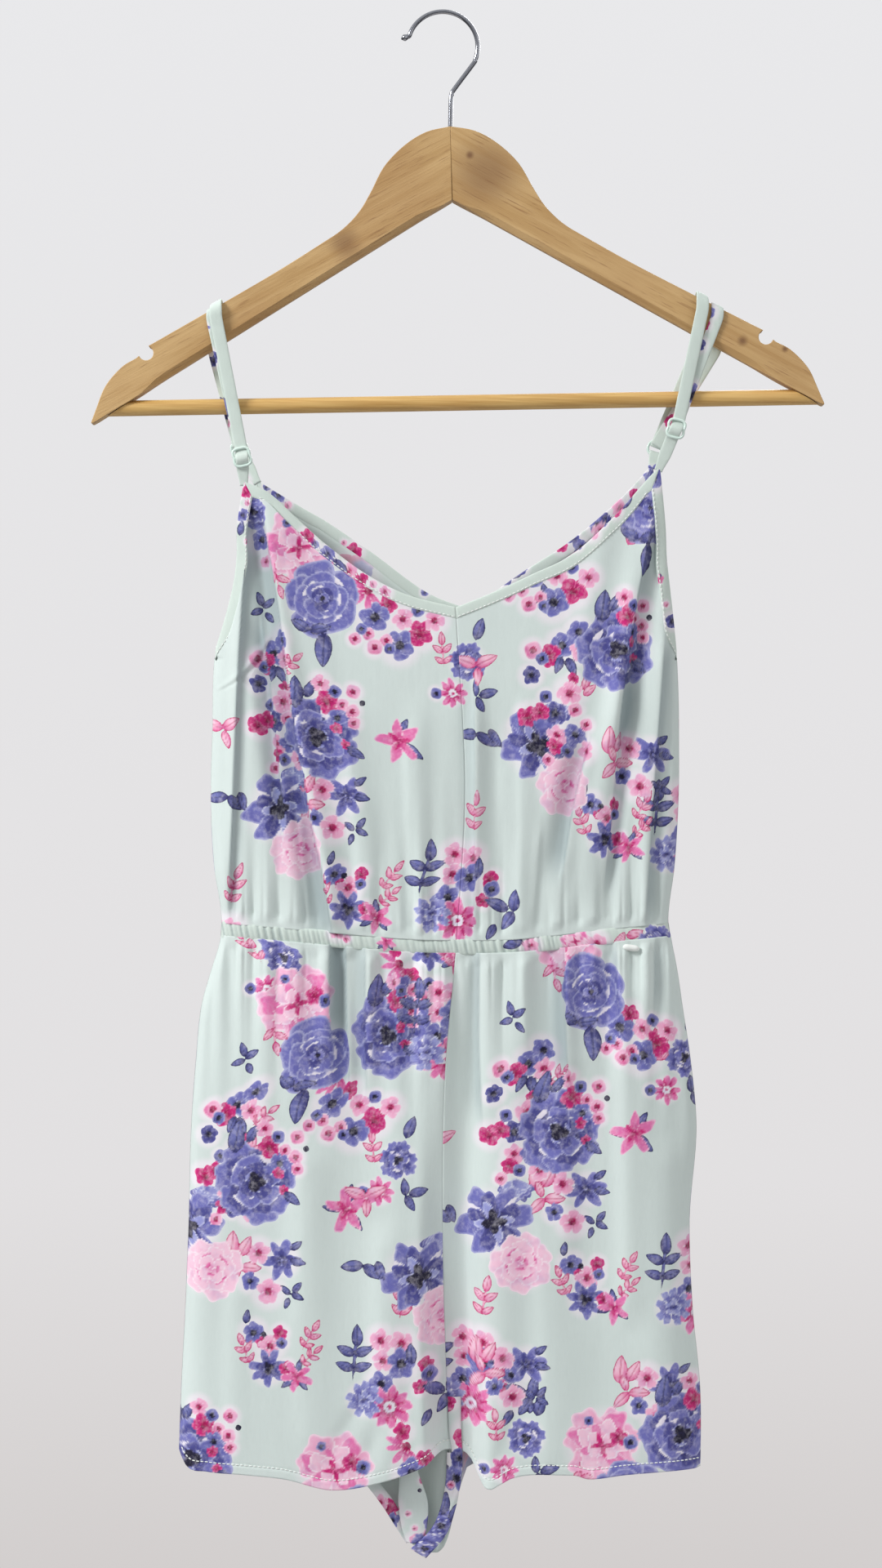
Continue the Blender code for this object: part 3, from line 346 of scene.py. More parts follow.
# ------------------------------------------------------------ the form
class GarmentForm:
    """Where the cloth lies: the same form as the part's solids, read finely."""

    BODY: Rows = (
        # drop, left, right, front depth, back depth
        (270, 121, 131, 7, 5.5), (330, 125.5, 135.5, 8.5, 6.5), (385, 138.2, 141.2, 11, 8),
        (437, 140.2, 142.8, 12.5, 9), (474, 141.2, 142.6, 12.5, 9), (516, 139.2, 140.2, 11.5, 9),
        (550, 134.6, 136.3, 10.5, 8.5), (561, 135.3, 138.2, 10.5, 8.5), (581, 141.2, 142, 12, 9),
        (601, 146.7, 144.9, 13, 9.5), (635, 150.2, 150, 14, 10), (675, 153, 153.4, 14.5, 10),
        (734, 154.6, 149.2, 15, 10.5), (784, 156.6, 151.1, 15.5, 11), (834, 159.1, 155.7, 16, 11),
        (887, 161, 155.8, 16, 11),
    )
    CENTRE_SEAM: Rows = ((360, 7.4), (470, 13), (560, 8), (640, 1), (734, -0.5), (887, 4))
    # side, back: armhole from the underarm up, neck down to its middle
    EDGES: dict[tuple[int, bool], tuple[Rows, Rows]] = {
        (-1, False): (
            ((-138.2, 385), (-132.8, 367.7), (-127.8, 347.8), (-125.4, 330), (-124.9, 310),
             (-120.8, 283.6)),
            ((-120.8, 283.6), (-105.5, 290.9), (-90.7, 304.2), (-70.9, 322.1), (-46.1, 340.4),
             (-21.3, 352.8), (7.4, 360.2))),
        (1, False): (
            ((141.2, 385), (139.6, 367.7), (137.3, 347.8), (135.3, 330), (134.4, 310),
             (131, 274.8)),
            ((131, 274.8), (122.4, 283.4), (102.6, 305.7), (77.8, 328), (53, 340.4),
             (28.2, 351.8), (7.4, 360.2))),
        (-1, True): (
            ((-138.2, 385), (-131.5, 366), (-126, 346), (-122.5, 325), (-118.5, 300),
             (-114.5, 281.5)),
            ((-114.5, 281.5), (-105.5, 287), (-85.7, 299), (-70.9, 307.5), (-43.6, 326),
             (-11.4, 349.5), (15, 360.5))),
        (1, True): (
            ((141.2, 385), (138.5, 366), (135.5, 346), (133, 325), (130.5, 300), (127.3, 272)),
            ((127.3, 272), (107.5, 293.3), (77.8, 318.6), (48.1, 337.9), (28.2, 351.8),
             (15, 360.5))),
    }
    WAIST_TOP: Rows = ((-136, 549.6), (-70.9, 555), (-21.3, 559.2), (8.4, 559.9), (38.2, 559.6),
                       (67.9, 557), (97.6, 553.6), (138, 549.8))
    HEMS: dict[bool, Rows] = {
        False: (
            (-162, 868), (-155, 879), (-142.7, 881.5), (-120.4, 883), (-95.6, 885.5), (-66, 892),
            (-36.2, 887), (-12, 878), (2, 870), (16, 874), (20.5, 883), (24, 890), (28, 891.5),
            (33, 889), (42, 884.5), (77.8, 883), (88, 885.5), (110, 883), (160, 880)),
        True: (
            (-162, 868), (-150, 876), (-100, 880), (-55, 886), (-38, 905), (-22, 928), (-8, 935),
            (2, 926), (9, 897), (16, 880), (100, 880), (160, 876)),
    }
    SIDE_DEPTH = 1.6
    CORNER_DEPTH = 5.4
    WAIST_HEIGHT = 10.5
    WAIST_MIDDLE = 8.0
    WAIST_HALF = 137.0
    WAIST_LEVEL = 550.0
    HEM_LEVEL = 880.0
    UNDERARM_ROW = 0.60
    SEAM_ROUND = 5.0        # how soon the cloth turns over beside a side seam
    PINCH = (640.0, 834.0, 14.3, 4.0)   # from, to, half width and shift of the crotch fold
    # across and drop at its top, the same at its foot, width, height
    SOLID_FOLDS: dict[bool, Rows] = {
        False: (
            (-110.5, 300, -66, 549, 6, 2.6), (-117, 320, -128, 540, 5, 1.8),
            (-111.5, 310, -98, 500, 5, -1.8), (-100, 300, -40, 520, 9, 1.6),
            (-16, 420, -12, 552, 7, 1.4), (19, 410, 19.5, 552, 5, 2), (30, 440, 31, 552, 6, -1.4),
            (100, 300, 60, 500, 9, 1.4), (129, 290, 79, 548, 7, 2.4), (121, 310, 104, 490, 5, -1.8),
            (134, 330, 129, 545, 4, 1.4), (-92, 572, -78, 800, 14, 2.4),
            (-60, 572, -46, 700, 10, -2), (-22, 572, -30, 860, 16, 2.2),
            (-6, 572, -8, 880, 9, 2.6), (14, 600, 12, 892, 10, -4.5),
            (44, 572, 30, 885, 12, 2.6), (71, 572, 74, 760, 8, 2.4), (85, 572, 96, 880, 16, -1.6),
            (119, 572, 128, 840, 12, 2)),
        True: (
            (-106, 305, -70, 549, 8, 2), (112, 305, 76, 549, 8, 2), (-30, 380, -26, 552, 10, 1.5),
            (46, 380, 40, 552, 10, 1.5), (-100, 572, -112, 850, 15, 2.4),
            (-58, 572, -60, 800, 12, -1.8), (-20, 572, -24, 780, 10, 2.2),
            (30, 572, 34, 800, 10, 2.2), (66, 572, 70, 860, 14, -1.8),
            (108, 572, 116, 850, 15, 2.4)),
    }

    def __init__(self) -> None:
        """Prepare the curves and the four bound edges of each face."""
        self.half = {-1: Curve(self.BODY, 1), 1: Curve(self.BODY, 2)}
        self.full = {False: Curve(self.BODY, 3), True: Curve(self.BODY, 4)}
        self.seam, self.waist = Curve(self.CENTRE_SEAM), Curve(self.WAIST_TOP)
        self.hem = {back: Curve(rows) for back, rows in self.HEMS.items()}
        self.bound: dict[tuple[int, bool], tuple[BoundEdge, BoundEdge]] = {}
        for (side, back), (armhole, neck) in self.EDGES.items():
            left, right = self.EDGES[-1, back][1], self.EDGES[1, back][1]
            dip = corner_step(left[-1], left[-2], right[-2], hollow=True)
            corner = corner_step(neck[0], armhole[-2], neck[1])
            under = np.array([0.0, BINDING_WIDTH])
            self.bound[side, back] = (BoundEdge(armhole, -side, under, corner),
                                      BoundEdge(neck, -side, corner, dip))

    def gather(self, across: Array, drop: Array, back: bool) -> Array:
        """Find the ripples that the elastic draws up above and below itself.

        Args:
            across: Places across.
            drop: Their drops.
            back: Whether they are on the back.

        Returns:
            How far the ripples raise the cloth.
        """
        line = self.waist(across)
        above, below = line - drop, drop - line - self.WAIST_HEIGHT
        near = np.where(above >= 0.0, np.maximum(above, 0.0) / 46.0, np.maximum(below, 0.0) / 60.0)
        x = across + (6.0 if back else 0.0)
        broad = 1.5 * np.exp(-near**1.5) * np.cos(ROUND * (x / 17.0 + 0.35 * np.sin(x / 21.0)))
        fine = x / 8.6 + 0.8 * np.sin(x / 19.0) + 0.25 * np.sin(x / 6.1 + 1.0)
        reach = 0.42 + 0.30 * np.sin(x / 9.3) * np.sin(x / 4.1 + 2.0)
        crease = (0.5 + 0.5 * np.cos(ROUND * fine)) ** 3
        ripples = broad + 1.25 * np.exp(-(near / reach) ** 1.4) * (0.35 - crease)
        return ripples * (0.12 + 0.88 * ease(np.maximum(above, below), 0.0, 8.0))

    @staticmethod
    def crown(share: Array) -> Array:
        """Return how full the form is at shares across it, 0 at its sides."""
        return np.sqrt(1.0 - np.abs(2.0 * share - 1.0) ** 6)

    def depth(self, across: Array, drop: Array, back: bool,
              extra: tuple[Fold, ...] = ()) -> Array:
        """Find how far the outer face stands off the middle plane.

        Args:
            across: Places across.
            drop: Their drops.
            back: Whether they are on the back.
            extra: Further folds of the cloth.

        Returns:
            Depths, always positive.
        """
        left, right, full = self.half[-1](drop), self.half[1](drop), self.full[back](drop)
        crown = self.crown(np.clip((across + left) / (left + right), 0.0, 1.0))
        edge = self.SIDE_DEPTH + self.CORNER_DEPTH * (1.0 - ease(drop, 290.0, 385.0))
        edge = edge * (0.85 if back else 1.0)
        relief = self.gather(across, drop, back)
        for top_across, top_drop, low_across, low_drop, width, tall in self.SOLID_FOLDS[back]:
            t = (drop - top_drop) / (low_drop - top_drop)
            line = top_across + (low_across - top_across) * np.clip(t, 0.0, 1.0)
            fade = ease(t, -0.12, 0.15) * (1.0 - ease(t, 0.82, 1.12))
            relief = relief + tall * fade * bell((across - line) / width)
        for fold in extra:
            relief = relief + fold.relief(*fold.reach(across, drop))
        flat = edge + (full - edge) * crown + relief * np.minimum(4.0 * crown * crown, 1.0)
        start, stop, reach, shift = self.PINCH
        near = np.exp(-(((across - self.seam(drop) - shift) / reach) ** 4))
        pinch = 1.0 - ease(drop, start, stop) * near
        return np.maximum(self.SIDE_DEPTH + (flat - self.SIDE_DEPTH) * pinch, self.SIDE_DEPTH)

    def round_seam(self, depth: Array, away: Array) -> Array:
        """Turn depths over to the middle plane by their distances from a side seam."""
        t = np.clip(away / self.SEAM_ROUND, 0.0, 1.0)
        return 0.2 + (depth - 0.2) * np.sqrt(1.0 - (1.0 - t) ** 2)

    def bodice(self, side: int, back: bool, share: Array, rise: Array) -> Array:
        """Place points in half a bodice: waist, side and armhole, neck, middle.

        Args:
            side: -1 for the left half, 1 for the right one.
            back: Whether it is the back.
            share: Shares from the side to the middle.
            rise: Shares from the waist up.

        Returns:
            Points of (across, drop).
        """
        armhole, neck = self.bound[side, back]
        gap = 0.0 if back else side * SEAM_GAP / 2
        outer = side * self.half[side](self.WAIST_LEVEL)
        peak = neck.panel_edge(1.0)

        def foot(part: Array | float) -> Array:
            """Return points along the waist."""
            across = outer + (self.WAIST_MIDDLE + gap - outer) * np.asarray(part)
            return np.stack((across, self.waist(across) + CASING_LAP), -1)

        def middle(part: Array | float) -> Array:
            """Place points up the centre.

            Args:
                part: Shares from the waist up.

            Returns:
                Points of (across, drop).
            """
            place = foot(1.0) + (peak - foot(1.0)) * np.asarray(part)[..., None]
            if not back:
                place[..., 0] = self.seam(place[..., 1]) + gap
            return place

        def top(part: Array | float) -> Array:
            """Return points along the neck."""
            return neck.panel_edge(part) + (middle(1.0) - peak) * np.asarray(part)[..., None] ** 4

        low, high = foot(0.0)[1], armhole.panel_edge(0.0)[1]
        drop = low + (high - low) * rise / self.UNDERARM_ROW
        up = np.clip((rise - self.UNDERARM_ROW) / (1.0 - self.UNDERARM_ROW), 0.0, 1.0)
        settle = (neck.panel_edge(0.0) - armhole.panel_edge(1.0)) * ease(up, 0.9, 1.0)[..., None]
        outside = np.where((rise > self.UNDERARM_ROW)[..., None], armhole.panel_edge(up) + settle,
                           np.stack((side * self.half[side](drop), drop), -1))
        s, r = share[..., None], rise[..., None]
        corners = ((1 - s) * (1 - r) * foot(0.0) + s * (1 - r) * foot(1.0)
                   + (1 - s) * r * top(0.0) + s * r * top(1.0))
        return ((1 - s) * outside + s * middle(rise)
                + (1 - r) * foot(share) + r * top(share) - corners)

    def shorts(self, side: int, back: bool, share: Array, fall: Array) -> Array:
        """Place points in a quarter of the shorts.

        Args:
            side: -1 for the left leg, 1 for the right one.
            back: Whether it is the back.
            share: Shares from the side seam to the centre seam.
            fall: Shares from the casing down to the hem.

        Returns:
            Points of (across, drop).
        """
        def across_at(drop: Array | float) -> Array:
            """Return where a share lies across at some drops."""
            outer = side * self.half[side](drop)
            return outer + (self.seam(drop) + side * SEAM_GAP / 2 - outer) * share

        outer = side * self.WAIST_HALF
        top = self.waist(outer + (self.WAIST_MIDDLE - outer) * share)
        top = top + self.WAIST_HEIGHT - CASING_LAP
        drop = top + (self.hem[back](across_at(self.HEM_LEVEL)) - top) * fall
        return np.stack((across_at(drop), drop), -1)


FORM = GarmentForm()


# ------------------------------------------------------------ shader maths
class Nodes:
    """A node tree, and the one way that nodes are added to it."""

    def __init__(self, tree: bpy.types.NodeTree) -> None:
        """Keep the tree."""
        self.tree = tree

    def add(self, kind: str, settings: dict | None = None,
            values: dict | None = None) -> bpy.types.Node:
        """Add a node.

        Args:
            kind: Its type.
            settings: Properties, or a ramp's stops, set first.
            values: Values or links of its sockets, by name or number.

        Returns:
            The node.
        """
        node = self.tree.nodes.new(kind)
        for key, value in (settings or {}).items():
            if key != "stops":
                setattr(node, key, value)
                continue
            marks = node.color_ramp.elements
            while len(marks) < len(value):
                marks.new(0.5)
            for mark, (place, tone) in zip(marks, value):
                mark.position, mark.color = place, (*linear(*tone), 1.0)
        for key, value in (values or {}).items():
            self.feed(node.inputs[key], value)
        return node

    def feed(self, socket: bpy.types.NodeSocket, value: object) -> None:
        """Link a value to a socket, or set it there.

        Args:
            socket: The socket.
            value: A wire, another socket, a number or a colour.
        """
        value = value.socket if isinstance(value, Wire) else value
        if isinstance(value, bpy.types.NodeSocket):
            self.tree.links.new(value, socket)
        elif isinstance(value, tuple) and socket.type == "RGBA":
            socket.default_value = (*value, 1.0)
        else:
            socket.default_value = value


class Wire:
    """A shader value whose operators add Math nodes."""

    def __init__(self, nodes: Nodes, socket: bpy.types.NodeSocket) -> None:
        """Keep the tree's nodes and the socket."""
        self.nodes, self.socket = nodes, socket

    def _math(self, operation: str, first: "Wire | float", second: "Wire | float") -> "Wire":
        """Add a Math node with two values."""
        return Wire(self.nodes, self.nodes.add(
            "ShaderNodeMath", {"operation": operation}, {0: first, 1: second}).outputs[0])

    def __add__(self, other: "Wire | float") -> "Wire":
        """Add."""
        return self._math("ADD", self, other)

    def __sub__(self, other: "Wire | float") -> "Wire":
        """Subtract."""
        return self._math("SUBTRACT", self, other)

    def __rsub__(self, other: float) -> "Wire":
        """Subtract, reflected."""
        return self._math("SUBTRACT", other, self)

    def __mul__(self, other: "Wire | float") -> "Wire":
        """Multiply."""
        return self._math("MULTIPLY", self, other)

    def __truediv__(self, other: float) -> "Wire":
        """Divide."""
        return self._math("DIVIDE", self, other)

    __radd__, __rmul__ = __add__, __mul__

    def smooth(self, low: float, high: float) -> "Wire":
        """Rise smoothly from 0 at low to 1 at high."""
        return Wire(self.nodes, self.nodes.add(
            "ShaderNodeMapRange", {"interpolation_type": "SMOOTHSTEP"},
            {0: self, 1: low, 2: high}).outputs[0])


class Bench(Nodes):
    """A material with a Principled shader, and the patterns that finishes use."""

    def __init__(self, name: str) -> None:
        """Start the material.

        Args:
            name: Its name.
        """
        self.material = bpy.data.materials.new(name)
        self.material.use_nodes = True
        super().__init__(self.material.node_tree)
        self.shader = self.tree.nodes["Principled BSDF"]
        self.place = self.add("ShaderNodeTexCoord").outputs["Object"]

    def dress(self, **values: "Wire | float | Colour") -> None:
        """Feed the shader's sockets, with spaces written as underscores."""
        for key, value in values.items():
            self.feed(self.shader.inputs[key.replace("_", " ")], value)

    def stretched(self, x: float, y: float, z: float, turn: float = 0.0) -> bpy.types.NodeSocket:
        """Turn the object's coordinates about Y and scale them.

        Args:
            x: Scale across.
            y: Scale in depth.
            z: Scale in height.
            turn: Angle that they are turned by first.

        Returns:
            The coordinates' socket.
        """
        turned = self.add("ShaderNodeVectorRotate", {"rotation_type": "Y_AXIS"},
                          {"Vector": self.place, "Angle": turn})
        return self.add("ShaderNodeMapping", {}, {
            "Vector": turned.outputs[0], "Scale": (x, y, z)}).outputs[0]

    def noise(self, scale: float, detail: float = 3.0, rough: float = 0.55,
              vector: bpy.types.NodeSocket | None = None, distortion: float = 0.0) -> Wire:
        """Add a noise.

        Args:
            scale: Its scale.
            detail: Its octaves.
            rough: Their roughness.
            vector: Coordinates, the object's own if not given.
            distortion: How far it is warped.

        Returns:
            A value about 0.5.
        """
        return Wire(self, self.add("ShaderNodeTexNoise", {}, {
            "Vector": vector or self.place, "Scale": scale, "Detail": detail,
            "Roughness": rough, "Distortion": distortion}).outputs[0])

    def wave(self, scale: float, direction: str) -> Wire:
        """Return a sine band value."""
        return Wire(self, self.add("ShaderNodeTexWave", {"bands_direction": direction},
                                   {"Vector": self.place, "Scale": scale}).outputs[1])

    def drawn(self, name: str, output: int = 2) -> Wire:
        """Return a mesh attribute's value, or its colour from output 0."""
        return Wire(self, self.add(
            "ShaderNodeAttribute", {"attribute_name": name}).outputs[output])

    def mix(self, share: Wire | float, first: object, second: object,
            blend: str = "MIX") -> bpy.types.NodeSocket:
        """Mix two colours.

        Args:
            share: How much of the second.
            first: Colour or link.
            second: Colour or link.
            blend: Blending mode.

        Returns:
            The mixed colour's socket.
        """
        return self.add("ShaderNodeMix", {"data_type": "RGBA", "blend_type": blend},
                        {0: share, 6: first, 7: second}).outputs[2]

    def bump(self, height: Wire, distance: float, strength: float) -> None:
        """Feed the shader's normal from a height."""
        self.dress(Normal=self.add("ShaderNodeBump", {}, {
            "Height": height, "Distance": distance, "Strength": strength}).outputs[0])


@dataclass(frozen=True)
class ClothFinish:
    """Thin crinkled viscose with a watercolour print, or its wrong side."""

    name: str
    ground: Colour              # 8-bit display colour
    strength: float = 1.0       # how strongly the print shows

    def make(self) -> Material:
        """Make it: ground, watery print with crisp uneven edges, painted shade in the fold pockets
        and casing furrows, weave.

        Returns:
            The material.
        """
        bench, ground = Bench(self.name), linear(*self.ground)
        dim, soiled = (tuple(c * share for c in ground) for share in (0.965, 0.90))
        mask = (bench.drawn("ink") + 0.5 * (bench.noise(650.0, 2.0) - 0.5)).smooth(-0.10, 0.10)
        colour = bench.mix(bench.noise(9.0, 2.0).smooth(0.3, 0.7), ground, dim)
        thread = bench.noise(1.0, 2.0, vector=bench.stretched(900.0, 900.0, 160.0))
        colour = bench.mix(thread.smooth(0.42, 0.75) * 0.20, colour, soiled)
        colour = bench.mix(bench.drawn("veil") * (0.85 * self.strength), colour,
                           linear(238, 232, 238))
        wash = bench.noise(300.0, 3.0, 0.6).smooth(0.40, 0.78)
        paint = bench.mix(wash * 0.28, bench.drawn("paint", 0), linear(238, 234, 244))
        streak = bench.noise(130.0, 2.0, 0.5).smooth(0.45, 0.75)
        paint = bench.mix(streak * 0.35, paint, (0.60, 0.56, 0.76), "MULTIPLY")
        colour = bench.mix(mask * self.strength, colour, paint)
        # painted shade: the shade map darkens the base colour toward a cool grey in fold pockets
        # and casing furrows
        shade = bench.drawn("shade") * 0.9
        weave = (bench.wave(700.0, "X") + bench.wave(700.0, "Z")) * 0.25
        crepe = bench.noise(260.0, 3.0, 0.6, vector=bench.stretched(1.0, 1.0, 0.45))
        soft = bench.noise(38.0, 2.0, vector=bench.stretched(1.0, 1.0, 0.35))
        bench.bump(weave + crepe * 0.9 + soft * 4.0, 0.00022, 0.8)
        bench.dress(Base_Color=bench.mix(shade, colour, (0.42, 0.46, 0.50), "MULTIPLY"),
                    Roughness=0.78, Sheen_Weight=0.12, Sheen_Roughness=0.5,
                    Specular_IOR_Level=0.3)
        return bench.material


@dataclass(frozen=True)
class WoodFinish:
    """Honey-coloured wood whose grain follows one arm."""

    name: str
    turn: float                 # slope of the grain
    spots: Rows                 # across, drop and reach of its stains and knots, mm

    def make(self) -> Material:
        """Make it: long grain, pores, a stain and knots.

        Returns:
            The material.
        """
        bench = Bench(self.name)
        rings = bench.noise(1.0, 4.0, 0.6, bench.stretched(9.0, 60.0, 150.0, self.turn), 0.6)
        fibre = bench.noise(1.0, 3.0, 0.6, bench.stretched(45.0, 700.0, 900.0, self.turn))
        patch = bench.noise(14.0, 2.0).smooth(0.35, 0.75)
        colour = bench.mix(rings.smooth(0.30, 0.70), linear(204, 169, 116), linear(182, 144, 90))
        colour = bench.mix(patch * 0.5, colour, linear(170, 128, 80))
        colour = bench.mix(fibre.smooth(0.56, 0.72) * 0.55, colour, linear(128, 82, 44))
        for across, drop, reach in self.spots:
            away = bench.add("ShaderNodeVectorMath", {"operation": "DISTANCE"}, {
                0: bench.place, 1: (across * MM, -0.006, -drop * MM)}).outputs["Value"]
            ragged = Wire(bench, away) / (reach * MM) + 0.5 * (rings - 0.5)
            spot = (1.0 - ragged.smooth(0.1, 1.1)) * (0.75 if reach < 8.0 else 0.5)
            colour = bench.mix(spot, colour, linear(104, 64, 36))
        bench.bump(fibre + rings * 0.6, 0.00025, 0.7)
        bench.dress(Base_Color=colour, Roughness=0.42 + 0.2 * rings, Coat_Weight=0.12,
                    Coat_Roughness=0.35)
        return bench.material


@dataclass(frozen=True)
class DowelFinish:
    """Pale yellow dowel with long fine streaks."""

    name: str = "bar_wood"

    def make(self) -> Material:
        """Make it: streaks along the bar over broad warm patches.

        Returns:
            The material.
        """
        bench = Bench(self.name)
        streak = bench.noise(1.0, 3.0, 0.6, bench.stretched(14.0, 400.0, 420.0, -0.026))
        broad = bench.noise(1.0, 2.0, vector=bench.stretched(30.0, 60.0, 60.0)).smooth(0.45, 0.8)
        colour = bench.mix(streak.smooth(0.32, 0.70), linear(218, 180, 112), linear(188, 146, 80))
        bench.bump(streak, 0.0002, 0.6)
        bench.dress(Base_Color=bench.mix(broad * 0.35, colour, linear(205, 150, 84)),
                    Roughness=0.45)
        return bench.material


@dataclass(frozen=True)
class SteelFinish:
    """Bright plated wire with faint drawing marks."""

    name: str = "hook_metal"

    def make(self) -> Material:
        """Make it: marks in its colour and its gloss.

        Returns:
            The material.
        """
        bench = Bench(self.name)
        marks = bench.noise(1.0, 2.0, vector=bench.stretched(900.0, 900.0, 120.0))
        bench.dress(Base_Color=bench.mix(marks, linear(168, 170, 176), linear(130, 133, 141)),
                    Roughness=0.10 + 0.12 * marks, Metallic=1.0)
        return bench.material


@dataclass(frozen=True)
class PlasticFinish:
    """Pale mint moulded plastic, slightly glossy."""

    name: str = "slider_plastic"

    def make(self) -> Material:
        """Make it: a faint cloud in its colour and its surface.

        Returns:
            The material.
        """
        bench = Bench(self.name)
        cloud = bench.noise(300.0, 2.0)
        bench.bump(cloud, 0.00008, 0.5)
        bench.dress(Base_Color=bench.mix(cloud, linear(224, 240, 232), linear(205, 228, 218)),
                    Roughness=0.28, Coat_Weight=0.3, Coat_Roughness=0.15)
        return bench.material


# ------------------------------------------------------------ the print
@dataclass(frozen=True)
class Pigment:
    """A petal's colours: at its lip, over its body and at its base."""

    lip: Colour
    body: Colour
    base: Colour

    def rows(self) -> tuple[Array, Array, Array]:
        """Return the three colours, scene linear."""
        return tuple(np.array(linear(*c)) for c in (self.lip, self.body, self.base))


VIOLET = Pigment((178, 180, 220), (112, 113, 184), (64, 64, 134))
DEEP = Pigment((126, 128, 192), (76, 76, 146), (30, 28, 72))
SKY = Pigment((214, 217, 238), (150, 154, 210), (104, 106, 178))
PINK = Pigment((248, 206, 226), (232, 120, 178), (198, 26, 118))
PALE = Pigment((250, 232, 240), (244, 200, 220), (226, 138, 186))
BLUSH = Pigment((250, 226, 237), (243, 178, 209), (222, 96, 158))
MAGENTA = Pigment((236, 110, 168), (206, 34, 120), (150, 12, 80))
LEAF_BLUE = Pigment((38, 38, 84), (112, 116, 178), (60, 60, 118))
LEAF_PINK = Pigment((196, 26, 104), (246, 196, 216), (226, 110, 164))
WHITE = Pigment((236, 234, 241), (240, 234, 242), (222, 214, 232))
NAVY = Pigment((34, 30, 72), (20, 16, 46), (20, 16, 46))
HEART = Pigment((206, 28, 110), (168, 12, 84), (90, 8, 54))


class Canvas:
    """Cloth points that are printed on: their colours and distances into the ink."""

    def __init__(self, across: Array, drop: Array) -> None:
        """Start with bare cloth.

        Args:
            across: Points of the flat print, across.
            drop: The same, down.
        """
        self.across, self.drop = across, drop
        self.paint = np.tile(WHITE.rows()[1], (len(across), 1))
        self.ink = np.full(len(across), -3.0)
        self.veil = np.zeros(len(across))

    def near(self, across: float, drop: float, reach: float) -> Array:
        """List the points within a square about a place."""
        return np.nonzero((np.abs(self.across - across) < reach)
                          & (np.abs(self.drop - drop) < reach))[0]

    def glow(self, across: float, drop: float, reach: float) -> None:
        """Bleach the ground softly about a place.

        Args:
            across: Its place across.
            drop: Its drop.
            reach: How far the pale patch reaches.
        """
        points = self.near(across, drop, reach)
        away = np.hypot(self.across[points] - across, self.drop[points] - drop) / reach
        self.veil[points] = np.maximum(self.veil[points], 1.0 - ease(away, 0.55, 1.0))

    def lay(self, points: Array, distance: Array, colour: Array) -> None:
        """Print a shape over what is there.

        Args:
            points: Numbers of the points.
            distance: How far inside the shape each one lies.
            colour: The shape's colour at each.
        """
        old = self.ink[points]
        wins = (distance > 0.0) | (distance > old)
        self.paint[points[wins]] = colour[wins]
        self.ink[points] = np.maximum(old, distance)

    def maps(self, shade: Array) -> dict[str, Array]:
        """Return the four maps that the finish reads, the painted shade among them."""
        return {"ink": self.ink, "veil": self.veil, "shade": shade, "paint": self.paint}


def towards(colour: Array, other: Array, share: Array) -> Array:
    """Move colours towards another one by shares."""
    return colour + (other - colour) * share[:, None]


